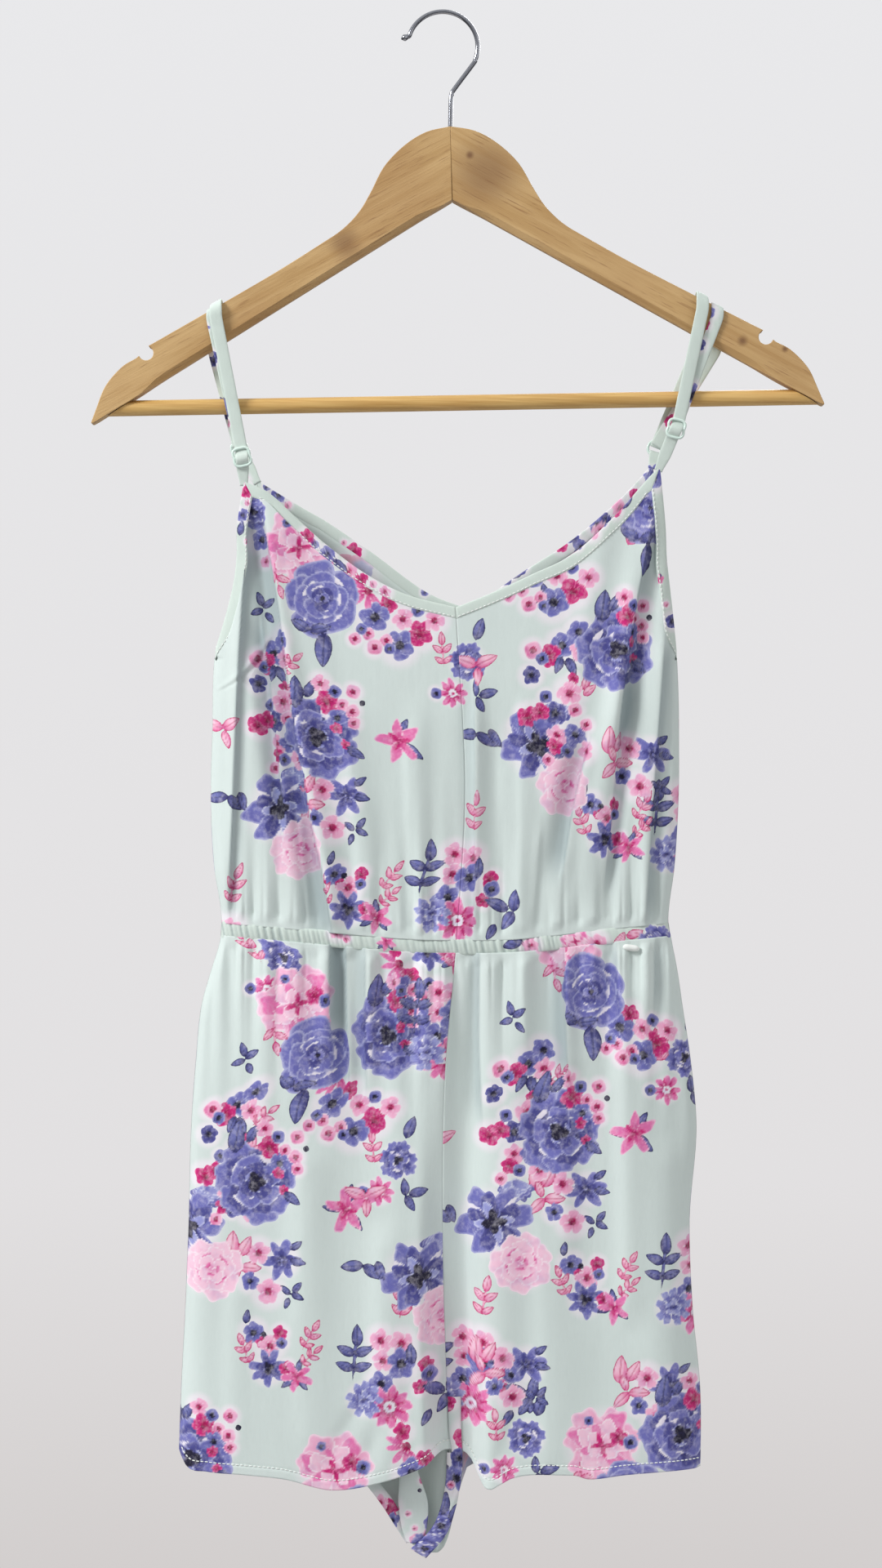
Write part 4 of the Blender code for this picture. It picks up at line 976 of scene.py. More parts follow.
@dataclass(frozen=True)
class Brush:
    """A place, size and turn on the canvas, in which a motif is drawn."""

    canvas: Canvas
    across: float
    drop: float
    scale: float            # half the motif's size
    turn: float = 0.0

    def petal(self, x: float, y: float, length: float, width: float, turn: float,
              pigment: Pigment, ragged: float = 0.05, lobes: int = 5,
              leafy: bool = False) -> None:
        """Print one petal or leaf.

        Args:
            x: Its middle, in half sizes of the motif.
            y: The same, upwards.
            length: Its length.
            width: Its width.
            turn: Its direction, from base to tip.
            pigment: Its colours.
            ragged: How uneven its edge is.
            lobes: How many waves its edge has.
            leafy: Whether its ends are pointed and its edge and midrib are lines.
        """
        cos, sin = math.cos(self.turn), math.sin(self.turn)
        middle = (self.across + self.scale * (x * cos - y * sin),
                  self.drop - self.scale * (x * sin + y * cos))
        size, breadth = self.scale * length / 2, self.scale * width / 2
        points = self.canvas.near(*middle, 1.25 * max(size, breadth) + 1.6)
        if not len(points):
            return
        du = self.canvas.across[points] - middle[0]
        dv = middle[1] - self.canvas.drop[points]
        cos, sin = math.cos(self.turn + turn), math.sin(self.turn + turn)
        a, b = (du * cos + dv * sin) / size, (dv * cos - du * sin) / breadth
        wave = ragged * np.sin(lobes * np.arctan2(b, a) + 7.0 * (x + 2.0 * y) + self.across)
        lip, body, base = pigment.rows()
        colour = towards(body, base, ease(-a, 0.0, 1.0))
        if leafy:
            room = np.clip(1.0 - a * a, 0.0, 1.0) ** 0.68 * (1.0 - 0.30 * a)
            inside = room - np.abs(b) + wave - 1.5 * np.clip(np.abs(a) - 1.0, 0.0, None)
            distance = inside * breadth * 0.8
            rib = ease(0.18 - np.abs(b), 0.0, 0.14) * (np.abs(a) < 0.92)
            colour = towards(colour, base, 0.75 * ease(-b * np.sign(cos) - 0.15, 0.0, 0.5))
            edge = np.maximum(1.0 - ease(distance, 0.20, 0.70), 0.7 * rib)
        else:
            inside = 1.0 - np.sqrt(a * a + b * b) + wave
            distance = inside * min(size, breadth)
            vein = 0.5 + 0.5 * np.sin(8.0 * b + 3.0 * np.sin(3.0 * a + x))
            colour = towards(colour, base, 0.45 * vein * ease(-a, -0.7, 0.6))
            edge = 0.9 * (1.0 - ease(inside, 0.02, 0.20))
        self.canvas.lay(points, distance, towards(colour, lip, edge))

    def ring(self, count: int, radius: float, length: float, width: float, pigment: Pigment,
             start: float, ragged: float, lobes: int = 5, sweep: float = ROUND,
             leafy: bool = False) -> None:
        """Print petals round the middle, each pointing outwards.

        Args:
            count: How many.
            radius: How far out their middles lie.
            length: Their length.
            width: Their width.
            pigment: Their colours.
            start: Direction of the first.
            ragged: How uneven their edges are.
            lobes: How many waves an edge has.
            sweep: Angle that they take up.
            leafy: Whether they are leaves.
        """
        for k in range(count):
            wobble = math.sin(k * 2.4 + self.across * 0.7 + radius * 9.0)
            angle = start + sweep * (k + 0.12 * wobble) / count
            grown = 1.0 + 0.10 * wobble
            self.petal(radius * math.cos(angle), radius * math.sin(angle), length * grown,
                       width * grown, angle, pigment, ragged, lobes, leafy)

    def leaf(self, x: float, y: float, length: float, degrees: float, pigment: Pigment) -> None:
        """Print a pointed leaf from its foot outwards.

        Args:
            x: Its foot, in half sizes of the motif.
            y: The same, upwards.
            length: Its length.
            degrees: Its direction.
            pigment: Its colours.
        """
        turn = math.radians(degrees)
        self.petal(x + 0.5 * length * math.cos(turn), y + 0.5 * length * math.sin(turn),
                   length, 0.5 * length, turn, pigment, 0.03, 3, True)


@dataclass(frozen=True)
class Recipe:
    """How one motif is drawn, from its bleached ground up."""

    rings: tuple = ()           # what a brush's ring takes
    spots: tuple = ()           # size and pigment
    leaves: Rows = ()           # x, y, length, direction in degrees
    glow: float = 0.0           # reach of the bleached ground, in half sizes
    foliage: Pigment = LEAF_BLUE
    stem: float | None = None   # direction of a stalk

    def draw(self, brush: Brush) -> None:
        """Draw the motif.

        Args:
            brush: Where, how large and how turned.
        """
        if self.glow:
            brush.canvas.glow(brush.across, brush.drop, self.glow * brush.scale)
        for ring in self.rings:
            brush.ring(*ring)
        for size, pigment in self.spots:
            brush.petal(0.0, 0.0, size, size, 0.6, pigment, 0.05, 4)
        if self.stem is not None:
            brush.petal(0.0, 0.0, 1.5, 0.10, self.stem, self.foliage, 0.0)
        for leaf in self.leaves:
            brush.leaf(*leaf, self.foliage)


def bloom(*rings: tuple, spots: tuple = ()) -> Recipe:
    """Return the recipe of a large flower on its bleached ground."""
    return Recipe(rings, spots, glow=1.12)


def blossom(petals: Pigment, heart: Pigment) -> Recipe:
    """Return the recipe of a small flower of five petals."""
    return Recipe(((5, 0.58, 0.92, 0.94, petals, 0.3, 0.10, 3),), ((0.62, heart),), glow=1.9)


# What a row of the chart prints.
Motif = M = Enum("Motif", """PEONY ROSE DARK_ROSE CARNATION PALE_PEONY BIG_BLUE SHELL DAISY
    BIG_DAISY FAN_DAISY LILY DARK_LILY BLUE_FLOWER BLUE_SCRIBBLE PINK_BLOSSOM ROSY BLUE_BLOSSOM
    DARK_BLOSSOM PINK_BUD BLUE_BUD NAVY_DOT LEAF TWIN_LEAVES THREE_LEAVES FOUR_LEAVES
    FIVE_LEAVES LINED_LEAF LINED_SPRIG LINED_BOW PINK_SPRIG""")

RECIPES: dict[Motif, Recipe] = {
    # rings: count, radius, length, width, pigment, start, ragged, lobes
    M.PEONY: bloom(
        (7, 0.62, 0.80, 0.74, BLUSH, 0.3, 0.12, 5), (3, 0.52, 0.90, 0.56, PINK, 0.9, 0.12, 4),
        (5, 0.40, 0.60, 0.50, PALE, 0.1, 0.12, 4), (4, 0.34, 0.56, 0.24, PINK, 0.4, 0.10, 3),
        (4, 0.22, 0.40, 0.34, PALE, 0.7, 0.08, 3), (4, 0.14, 0.34, 0.13, MAGENTA, 0.2, 0.08, 3)),
    M.ROSE: bloom(
        (5, 0.64, 0.74, 1.06, VIOLET, 0.5, 0.06, 4), (3, 0.60, 0.16, 0.62, WHITE, 1.2, 0.08, 3),
        (4, 0.42, 0.60, 0.86, VIOLET, 0.1, 0.06, 3), (3, 0.44, 0.14, 0.46, WHITE, 0.3, 0.08, 3),
        (4, 0.28, 0.46, 0.60, VIOLET, 0.8, 0.05, 3), (2, 0.30, 0.10, 0.34, WHITE, 1.9, 0.05, 3),
        (3, 0.16, 0.36, 0.42, DEEP, 0.4, 0.05, 3), (2, 0.09, 0.20, 0.24, VIOLET, 0.1, 0.0, 3),
        (1, 0.02, 0.16, 0.12, NAVY, 0.4, 0.0, 3)),
    M.DARK_ROSE: bloom(
        (7, 0.68, 0.60, 0.78, VIOLET, 0.3, 0.12, 5), (5, 0.52, 0.60, 0.70, DEEP, 0.1, 0.10, 5),
        (4, 0.56, 0.14, 0.40, WHITE, 0.9, 0.1, 3), (5, 0.38, 0.48, 0.56, VIOLET, 0.5, 0.10, 4),
        (3, 0.36, 0.12, 0.34, WHITE, 0.2, 0.1, 3), (5, 0.24, 0.42, 0.44, DEEP, 0.2, 0.08, 4),
        (3, 0.22, 0.08, 0.24, SKY, 0.3, 0.05, 3), (3, 0.10, 0.28, 0.24, NAVY, 0.0, 0.05, 3)),
    M.CARNATION: bloom(
        (7, 0.64, 0.62, 0.62, VIOLET, 0.2, 0.14, 6), (6, 0.44, 0.58, 0.50, DEEP, 0.5, 0.12, 5),
        (3, 0.46, 0.14, 0.32, WHITE, 0.2, 0.1, 3), (5, 0.28, 0.44, 0.40, VIOLET, 0.1, 0.08, 4),
        (2, 0.26, 0.10, 0.26, WHITE, 1.2, 0.1, 3), (3, 0.12, 0.28, 0.24, NAVY, 0.2, 0.0, 3)),
    M.PALE_PEONY: bloom(
        (7, 0.60, 0.84, 0.84, PALE, 0.3, 0.09, 5), (5, 0.44, 0.60, 0.66, PALE, 0.1, 0.08, 5),
        (4, 0.48, 0.10, 0.44, PINK, 0.5, 0.1, 3), (4, 0.24, 0.50, 0.48, PALE, 0.6, 0.06, 4),
        (3, 0.18, 0.12, 0.30, PINK, 0.2, 0.05, 3)),
    M.BIG_BLUE: bloom(
        (6, 0.58, 0.90, 0.56, VIOLET, 0.1, 0.10, 4), (3, 0.56, 0.50, 0.14, WHITE, 0.6, 0.08, 3),
        (5, 0.42, 0.74, 0.44, DEEP, 0.5, 0.08, 4), (4, 0.30, 0.50, 0.26, SKY, 0.3, 0.05, 3),
        (4, 0.16, 0.36, 0.24, NAVY, 0.2, 0.05, 3)),
    M.BLUE_SCRIBBLE: bloom(
        (9, 0.66, 0.52, 0.40, SKY, 0.1, 0.12, 4), (7, 0.44, 0.46, 0.34, VIOLET, 0.4, 0.12, 4),
        (5, 0.22, 0.40, 0.30, SKY, 0.2, 0.1, 3), (2, 0.1, 0.26, 0.2, DEEP, 0.2, 0.1, 3)),
    M.DARK_LILY: bloom(
        (7, 0.56, 0.80, 0.40, VIOLET, 0.2, 0.08, 4), (5, 0.34, 0.62, 0.36, DEEP, 0.5, 0.08, 4),
        (3, 0.14, 0.36, 0.26, NAVY, 0.2, 0.05, 3)),
    M.DAISY: bloom(
        (8, 0.58, 0.78, 0.40, PINK, 0.0, 0.07, 3), (8, 0.42, 0.56, 0.12, MAGENTA, 0.2, 0.05, 3),
        spots=((0.50, WHITE), (0.20, MAGENTA))),
    M.BIG_DAISY: bloom(
        (9, 0.58, 0.80, 0.42, PINK, 0.0, 0.08, 4), (9, 0.44, 0.62, 0.14, MAGENTA, 0.3, 0.06, 3),
        spots=((0.50, WHITE), (0.20, MAGENTA))),
    M.BLUE_FLOWER: bloom(
        (6, 0.52, 0.92, 0.44, VIOLET, 0.1, 0.05, 3), (5, 0.30, 0.55, 0.30, DEEP, 0.4, 0.05, 3)),
    M.SHELL: Recipe(tuple((7, radius, 0.85, 0.42, pigment, 3.5, 0.05, 3, 2.9)
                          for radius, pigment in ((0.50, DEEP), (0.36, VIOLET), (0.20, SKY)))),
    M.FAN_DAISY: Recipe(((5, 0.55, 0.85, 0.30, PINK, 0.0, 0.05, 3, 3.4),), ((0.40, HEART),)),
    M.LILY: Recipe(((3, 0.55, 0.85, 0.36, LEAF_BLUE, 1.1, 0.05, 5, ROUND, True),
                    (5, 0.42, 0.95, 0.40, PINK, 0.4, 0.08, 4),
                    (3, 0.20, 0.5, 0.2, MAGENTA, 0.1, 0.05))),
    M.PINK_BLOSSOM: blossom(BLUSH, HEART),
    M.ROSY: blossom(MAGENTA, HEART),
    M.BLUE_BLOSSOM: blossom(VIOLET, NAVY),
    M.DARK_BLOSSOM: blossom(DEEP, NAVY),
    M.PINK_BUD: Recipe(spots=((2.0, BLUSH), (0.8, HEART)), glow=1.9),
    M.BLUE_BUD: Recipe(spots=((2.0, VIOLET), (0.8, NAVY)), glow=1.9),
    M.NAVY_DOT: Recipe(spots=((1.8, NAVY),)),
    M.LEAF: Recipe(leaves=((-1, 0, 2, 0),)),
    M.TWIN_LEAVES: Recipe(leaves=((-0.1, 0, 1, 10), (-0.1, 0, 1, 150))),
    M.THREE_LEAVES: Recipe(leaves=((0, -0.1, 1, 85), (0, -0.3, 0.9, 10), (0, -0.3, 0.9, 165))),
    M.FOUR_LEAVES: Recipe(leaves=(
        (0, 0.1, 0.9, 100), (0, 0, 0.9, 25), (0, -0.1, 0.85, 190), (0.1, -0.3, 0.8, 300))),
    M.FIVE_LEAVES: Recipe(stem=math.pi / 2, leaves=(
        (0.05, 0.30, 0.70, 95), (0, 0.05, 0.62, 28), (0, 0.05, 0.62, 160),
        (0, -0.40, 0.60, 22), (0, -0.40, 0.60, 165))),
    M.LINED_LEAF: Recipe(leaves=((-1, 0, 2, 0),), foliage=LEAF_PINK),
    M.LINED_SPRIG: Recipe(foliage=LEAF_PINK, stem=0.0, leaves=(
        (0.35, 0, 0.75, 0), (-0.05, 0, 0.7, 48), (-0.05, 0, 0.7, -48), (-0.6, 0, 0.6, 50),
        (-0.6, 0, 0.6, -50))),
    M.LINED_BOW: Recipe(foliage=LEAF_PINK, leaves=(
        (0, 0, 1, 25), (0, 0, 1, 160), (0.05, -0.1, 0.8, 270))),
    M.PINK_SPRIG: Recipe(foliage=LEAF_PINK, stem=0.0, leaves=(
        (0.3, 0, 0.7, 10), (-0.1, 0, 0.7, 60), (-0.3, 0, 0.7, -50))),
}

# Sprays of the repeat that come back all over the cloth, and flecks for the trim.
Group = G = Enum("Group", """PEONY TRAIL COLUMN SHELL DARK_ROSE LILY CARNATION BOW DAISIES
    CLUSTER TRIM NECK CORNER""")

# The repeat, charted: motif, across, down, size, turn in degrees where it has one.
CHART: dict[Group, tuple] = {
    G.PEONY: (
        (M.PEONY, 34, 36, 48), (M.ROSE, 49, 67, 46), (M.TWIN_LEAVES, 43, 86, 26),
        (M.LEAF, 50, 98, 21, -92), (M.PINK_SPRIG, 22, 55, 26, -80), (M.ROSY, 44, 31, 11),
        (M.BLUE_BUD, 51, 34, 9), (M.BLUE_BUD, 26, 21, 6),
    ),
    G.TRAIL: (
        (M.FAN_DAISY, 77, 62, 27, 150), (M.ROSY, 74, 53, 11, 10), (M.ROSY, 89, 70, 12, 40),
        (M.PINK_BLOSSOM, 98, 79, 13, 20), (M.BLUE_BLOSSOM, 81, 78, 18), (M.ROSY, 108, 88, 16, 30),
        (M.BLUE_BLOSSOM, 96, 95, 18, 36), (M.PINK_BLOSSOM, 117, 80, 13, 50),
        (M.BLUE_BUD, 107, 74, 8), (M.PINK_BUD, 69, 91, 8), (M.PINK_BUD, 77, 88, 8, 20),
        (M.PINK_BUD, 81, 96, 10, 50), (M.PINK_BUD, 88, 92, 8, 10), (M.BLUE_BUD, 73, 85, 7),
        (M.BLUE_BUD, 90, 97, 7),
    ),
    G.COLUMN: (
        (M.FOUR_LEAVES, 12, 72, 21, 10), (M.BLUE_BLOSSOM, 20, 100, 15),
        (M.BLUE_BLOSSOM, 29, 92, 14, 30), (M.ROSY, 13, 106, 14, 10), (M.PINK_BLOSSOM, 30, 103, 13),
        (M.LEAF, 18, 112, 11, -110), (M.LEAF, 25, 113, 12, -65), (M.DARK_BLOSSOM, 3, 118, 11),
        (M.LINED_SPRIG, 39, 107, 21, 40), (M.PINK_BUD, 4, 103, 11), (M.BLUE_BUD, 9, 108, 8),
        (M.ROSY, 26, 120, 7), (M.PINK_BLOSSOM, 24, 129, 15, 10), (M.LINED_LEAF, 33, 122, 10, 75),
        (M.LINED_LEAF, 35, 127, 10, 40), (M.BLUE_BUD, 11, 131, 8),
        (M.DARK_BLOSSOM, 16, 141, 14, 20), (M.ROSY, 1, 143, 13, 60), (M.ROSY, 8, 140, 11, 10),
        (M.PINK_BUD, 27, 139, 9), (M.PINK_BLOSSOM, 16, 154, 12), (M.BLUE_BLOSSOM, 26, 154, 13, 10),
        (M.PINK_BUD, 33, 148, 8), (M.ROSY, 13, 161, 10), (M.PINK_BLOSSOM, 31, 164, 13, 20),
        (M.BLUE_BUD, 19, 164, 8), (M.PINK_BUD, 8, 169, 8),
    ),
    G.SHELL: (
        (M.SHELL, 21, 175, 26), (M.BLUE_BLOSSOM, -2, 187, 10), (M.LINED_BOW, -28, 150, 28),
        (M.BIG_BLUE, 8, 198, 46), (M.PALE_PEONY, 24, 223, 37), (M.TWIN_LEAVES, -31, 191, 28, 175),
        (M.LEAF, -18, 194, 12, -70),
    ),
    G.DARK_ROSE: (
        (M.DARK_ROSE, 42, 150, 52), (M.LEAF, 31, 123, 20, 82), (M.LEAF, 40, 121, 12, 60),
        (M.PINK_BLOSSOM, 47, 118, 11), (M.ROSY, 50, 129, 14, 20), (M.BLUE_BUD, 55, 123, 8),
        (M.PINK_BUD, 66, 123, 9), (M.PINK_BUD, 59, 131, 8), (M.PINK_BUD, 65, 135, 9, 30),
        (M.NAVY_DOT, 71, 130, 4), (M.BLUE_BLOSSOM, 56, 139, 12, 40), (M.ROSY, 55, 145, 7),
        (M.PINK_BUD, 66, 142, 8), (M.ROSY, 58, 155, 6), (M.LEAF, 63, 160, 12, -35),
    ),
    G.LILY: (
        (M.LILY, 91, 153, 32),
    ),
    G.CARNATION: (
        (M.CARNATION, 137, 105, 25), (M.LEAF, 144, 85, 14, 72), (M.LINED_SPRIG, 122, 99, 23, 95),
        (M.DAISY, 126, 124, 19), (M.THREE_LEAVES, 145, 125, 24, -70), (M.BLUE_BUD, 116, 124, 7),
    ),
    G.BOW: (
        (M.BLUE_FLOWER, 56, 186, 26), (M.LEAF, 65, 177, 9, 35), (M.LEAF, 66, 187, 10, -10),
        (M.FOUR_LEAVES, 62, 206, 19, -50), (M.PINK_BLOSSOM, 42, 182, 14),
        (M.LINED_LEAF, 26, 177, 17, 85), (M.LINED_LEAF, 34, 178, 14, 60),
        (M.LINED_BOW, 31, 191, 26, 200), (M.BLUE_BLOSSOM, 37, 199, 11),
        (M.PINK_BLOSSOM, 48, 205, 15),
    ),
    G.DAISIES: (
        (M.FIVE_LEAVES, 106, 231, 39, -5), (M.LINED_SPRIG, 135, 197, 28, 80),
        (M.PINK_BLOSSOM, 122, 221, 14), (M.PINK_BLOSSOM, 134, 223, 15, 20),
        (M.PINK_BLOSSOM, 123, 233, 13), (M.BLUE_BLOSSOM, 134, 235, 18),
        (M.BLUE_BLOSSOM, 122, 247, 15, 20), (M.BIG_DAISY, 127, 261, 28),
        (M.BLUE_SCRIBBLE, 112, 257, 25), (M.LEAF, 140, 229, 13, 95), (M.ROSY, 149, 236, 10),
        (M.BLUE_BUD, 151, 242, 10), (M.ROSY, 145, 249, 9), (M.THREE_LEAVES, 159, 254, 30, 70),
        (M.LEAF, 149, 268, 11, -120),
    ),
    G.CLUSTER: (
        (M.BLUE_BLOSSOM, 52, 233, 13), (M.ROSY, 57, 239, 7), (M.PINK_BLOSSOM, 62, 241, 14, 10),
        (M.ROSY, 68, 233, 9), (M.BLUE_BUD, 69, 239, 7), (M.NAVY_DOT, 58, 234, 4),
        (M.DARK_LILY, 61, 254, 25), (M.ROSY, 72, 254, 9), (M.LINED_SPRIG, 47, 244, 22, 110),
        (M.LINED_SPRIG, 86, 235, 22, 60), (M.LINED_SPRIG, 86, 247, 19, 40),
        (M.LILY, 78, 259, 23, 20), (M.LEAF, 48, 223, 9, 80),
    ),
    G.TRIM: (
        (M.BLUE_BLOSSOM, 20, 3, 9), (M.PINK_BUD, 26, 9, 5), (M.BLUE_BUD, 13, -2, 5),
        (M.ROSY, 66, 37, 10), (M.PINK_BUD, 60, 32, 4), (M.BLUE_BUD, 109, 62, 5),
        (M.DARK_BLOSSOM, 158, 53, 10), (M.LEAF, 166, 49, 13, 35), (M.DARK_BLOSSOM, 168, 48, 7),
        (M.ROSY, 192, 34, 8), (M.DARK_BLOSSOM, 199, 29, 8), (M.BLUE_BLOSSOM, 214, 21, 11),
        (M.DARK_BLOSSOM, 219, 17, 7), (M.PINK_BLOSSOM, 228, 11, 11), (M.ROSY, 237, 3, 8),
        (M.BLUE_BLOSSOM, 248, -6, 12), (M.BLUE_FLOWER, 248, -10, 13),
        (M.PINK_BLOSSOM, 216, 25, 11), (M.BLUE_BLOSSOM, 204, 35, 10), (M.PINK_BLOSSOM, 233, 20, 8),
        (M.PINK_BLOSSOM, -1, -6, 7), (M.ROSY, 1, 2, 8), (M.BLUE_BLOSSOM, -1, 16, 8),
        (M.LEAF, -2, 24, 9, 80), (M.PINK_BUD, 2, 9, 4), (M.PINK_BUD, 2, 32, 4),
        (M.LILY, 251, 55, 8), (M.PINK_BLOSSOM, 259, 45, 5), (M.DARK_BLOSSOM, 259, 80, 9),
        (M.PINK_BUD, 255, 70, 4), (M.BLUE_BLOSSOM, 258, -11, 6), (M.PINK_BLOSSOM, 56, 268, 9),
        (M.PINK_BUD, 62, 272, 5), (M.LILY, 86, 274, 14, 20), (M.LEAF, 162, 275, 13, 200),
        (M.PINK_BLOSSOM, 173, 276, 10), (M.PEONY, 200, 274, 19), (M.PINK_BLOSSOM, 213, 275, 12),
        (M.LINED_LEAF, 227, 273, 12, 60), (M.LINED_LEAF, 236, 269, 11, 20),
        (M.CARNATION, 249, 274, 23), (M.NAVY_DOT, 84, 269, 2), (M.BLUE_FLOWER, -25, -97, 10),
        (M.DARK_BLOSSOM, -19, -79, 8), (M.LEAF, -13, -50, 15, 110), (M.PINK_BUD, -9, -40, 4),
        (M.BLUE_BLOSSOM, 280, -107, 9), (M.ROSY, 278, -99, 7), (M.DARK_BLOSSOM, 275, -87, 8),
        (M.BLUE_BLOSSOM, 272, -57, 12), (M.NAVY_DOT, 271, -55, 4), (M.PINK_BLOSSOM, 266, -64, 9),
        (M.DARK_BLOSSOM, 262, -54, 8), (M.ROSY, 259, -42, 9), (M.PINK_BLOSSOM, 104, 638, 10),
        (M.NAVY_DOT, 105, 639, 3), (M.PINK_BUD, 99, 621, 4), (M.PINK_BUD, 103, 630, 4),
        (M.PINK_BUD, 110, 633, 4), (M.PINK_BUD, 108, 601, 5), (M.NAVY_DOT, 106, 607, 3),
        (M.LEAF, 118, 594, 12, 200), (M.DARK_BLOSSOM, 120, 596, 8), (M.DARK_ROSE, 119, 628, 22),
        (M.LEAF, 121, 614, 14, 80), (M.CARNATION, 109, 642, 20), (M.BLUE_BLOSSOM, 128, 599, 17),
        (M.PINK_BUD, 125, 603, 5), (M.DARK_BLOSSOM, 130, 587, 12), (M.LEAF, 127, 620, 12, 70),
        (M.ROSY, 87, 619, 13), (M.PINK_BLOSSOM, 82, 615, 10), (M.BLUE_BLOSSOM, 89, 626, 10),
        (M.ROSY, 134, 574, 15), (M.PINK_SPRIG, 123, 556, 15, 90), (M.ROSY, 124, 553, 8),
    ),
    G.CORNER: (
        (M.DARK_ROSE, 2, 14, 23), (M.BLUE_BLOSSOM, 4, 31, 13), (M.PINK_BLOSSOM, 8, 44, 8),
        (M.ROSY, -1, 3, 9), (M.LINED_LEAF, 238, 24, 23, 60), (M.CARNATION, 247, 26, 21),
        (M.PINK_BLOSSOM, 249, 1, 9), (M.LEAF, 248, 45, 11, 80),
    ),
    G.NECK: (
        (M.ROSY, 38, 29, 9), (M.BLUE_BUD, 43, 34, 5), (M.BLUE_BLOSSOM, 50, 40, 10),
        (M.PINK_BUD, 55, 45, 4), (M.PINK_BLOSSOM, 63, 50, 11), (M.LEAF, 58, 47, 11, -40),
        (M.ROSY, 71, 55, 8), (M.PINK_BUD, 78, 58, 5), (M.PINK_BLOSSOM, 85, 63, 8),
        (M.DARK_BLOSSOM, 201, 34, 7), (M.PINK_BLOSSOM, 210, 27, 9), (M.BLUE_BUD, 217, 21, 5),
        (M.ROSY, 224, 14, 8), (M.LEAF, 231, 8, 11, 50),
    ),
}

CHART_LEFT, CHART_TOP = -120.4065, 288.381     # its corner, on the left front


@dataclass(frozen=True)
class PrintPlan:
    """Where the sprays of the repeat lie on one panel."""

    sprays: tuple = ()      # spray, shift across, shift down, squeeze across if not 1
    mirrored: bool = False

    def print_on(self, across: Array, drop: Array) -> Canvas:
        """Print the panel.

        Args:
            across: Cloth points, across.
            drop: The same, down.

        Returns:
            The printed canvas.
        """
        canvas = Canvas(-across if self.mirrored else across, drop)
        for group, right, down, *squeeze in self.sprays:
            middle = sum(row[1] for row in CHART[group]) / len(CHART[group])
            for motif, x, y, size, *turn in CHART[group]:
                x = middle + (x - middle) * (squeeze[0] if squeeze else 1.0)
                RECIPES[motif].draw(Brush(canvas, x + CHART_LEFT + right, y + CHART_TOP + down,
                                          size / 2, math.radians(sum(turn))))
        return canvas


LEFT_FRONT = PrintPlan((
    (G.DAISIES, -150, 44), (G.CORNER, 0, 0), (G.DAISIES, 0, 0), (G.CARNATION, 0, 0),
    (G.CLUSTER, 0, 0), (G.BOW, 0, 0), (G.SHELL, 0, -5, 0.95), (G.COLUMN, -7, 0, 0.85),
    (G.DARK_ROSE, 0, 0), (G.LILY, 0, 0), (G.TRAIL, 0, 0), (G.PEONY, 0, 0),
))
RIGHT_FRONT = PrintPlan((
    (G.CORNER, 0, 0), (G.DAISIES, 0, 0), (G.CARNATION, 0, 0), (G.DAISIES, 150, -36),
    (G.CLUSTER, 159, -42), (G.BOW, 196, -25), (G.SHELL, 169, -43, 0.95), (G.COLUMN, 174, -5, 1.1),
    (G.DARK_ROSE, 183, -52, 0.8), (G.TRAIL, 93, -26), (G.PEONY, 197, -55, 0.9),
))
LEFT_LEG = PrintPlan((
    (G.DAISIES, -39, 292), (G.CARNATION, -44, 300), (G.CARNATION, -130, 178),
    (G.CLUSTER, -46, 276), (G.CLUSTER, 45, 25), (G.BOW, -33, 279), (G.SHELL, -43, 248),
    (G.COLUMN, -26, 272, 0.9), (G.DARK_ROSE, -34, 268, 1.05), (G.LILY, -29, 282),
    (G.TRAIL, -30, 293), (G.TRAIL, 6, 225, 0.6), (G.DARK_ROSE, 34, 180, 0.7),
    (G.DAISIES, -13, 83, 0.8), (G.PEONY, -19, 275), (G.PEONY, 21, 556), (G.TRAIL, 20, 515, 0.9),
    (G.DARK_ROSE, -74, 436), (G.SHELL, 99, 277, 0.9),
))
RIGHT_LEG = PrintPlan((
    (G.DAISIES, 147, 237), (G.DAISIES, 10, 292), (G.CARNATION, 129, 239),
    (G.CARNATION, 32, 467, 1.2), (G.CLUSTER, 145, 235), (G.BOW, 150, 237), (G.BOW, 201, 354),
    (G.BOW, 114, 342), (G.SHELL, 143, 244), (G.COLUMN, 147, 247), (G.DARK_ROSE, 148, 238),
    (G.LILY, 144, 236), (G.TRAIL, 146, 247, 0.8), (G.PEONY, 161, 237), (G.PEONY, 182, 541),
    (G.DARK_ROSE, 222, 421),
))
BACK_BODICE = PrintPlan(LEFT_FRONT.sprays + RIGHT_FRONT.sprays, mirrored=True)
TRIM_PRINT = PrintPlan(((G.TRIM, 0, 0),))
NECK_PRINT = PrintPlan(((G.NECK, 0, 0),))
BARE = PrintPlan()
# side, back
LEG_PRINTS = {(-1, False): LEFT_LEG, (1, False): RIGHT_LEG,
              (-1, True): PrintPlan(RIGHT_LEG.sprays, mirrored=True),
              (1, True): PrintPlan(LEFT_LEG.sprays, mirrored=True)}


# ------------------------------------------------------------ meshes
def add_object(name: str, data: bpy.types.ID) -> Object:
    """Put a mesh, a light or a camera into the scene at the origin.

    Args:
        name: The object's name.
        data: What it shows.

    Returns:
        The object.
    """
    obj = bpy.data.objects.new(name, data)
    bpy.context.scene.collection.objects.link(obj)
    return obj


def mesh_object(name: str, verts: Array, faces: list) -> Object:
    """Make an object at the origin from points in millimetres.

    Args:
        name: Its name.
        verts: Points, three values a row.
        faces: Corners of each face.

    Returns:
        The object.
    """
    mesh = bpy.data.meshes.new(name)
    mesh.from_pydata((verts * MM).tolist(), [], faces)
    mesh.update()
    mesh.shade_smooth()
    return add_object(name, mesh)


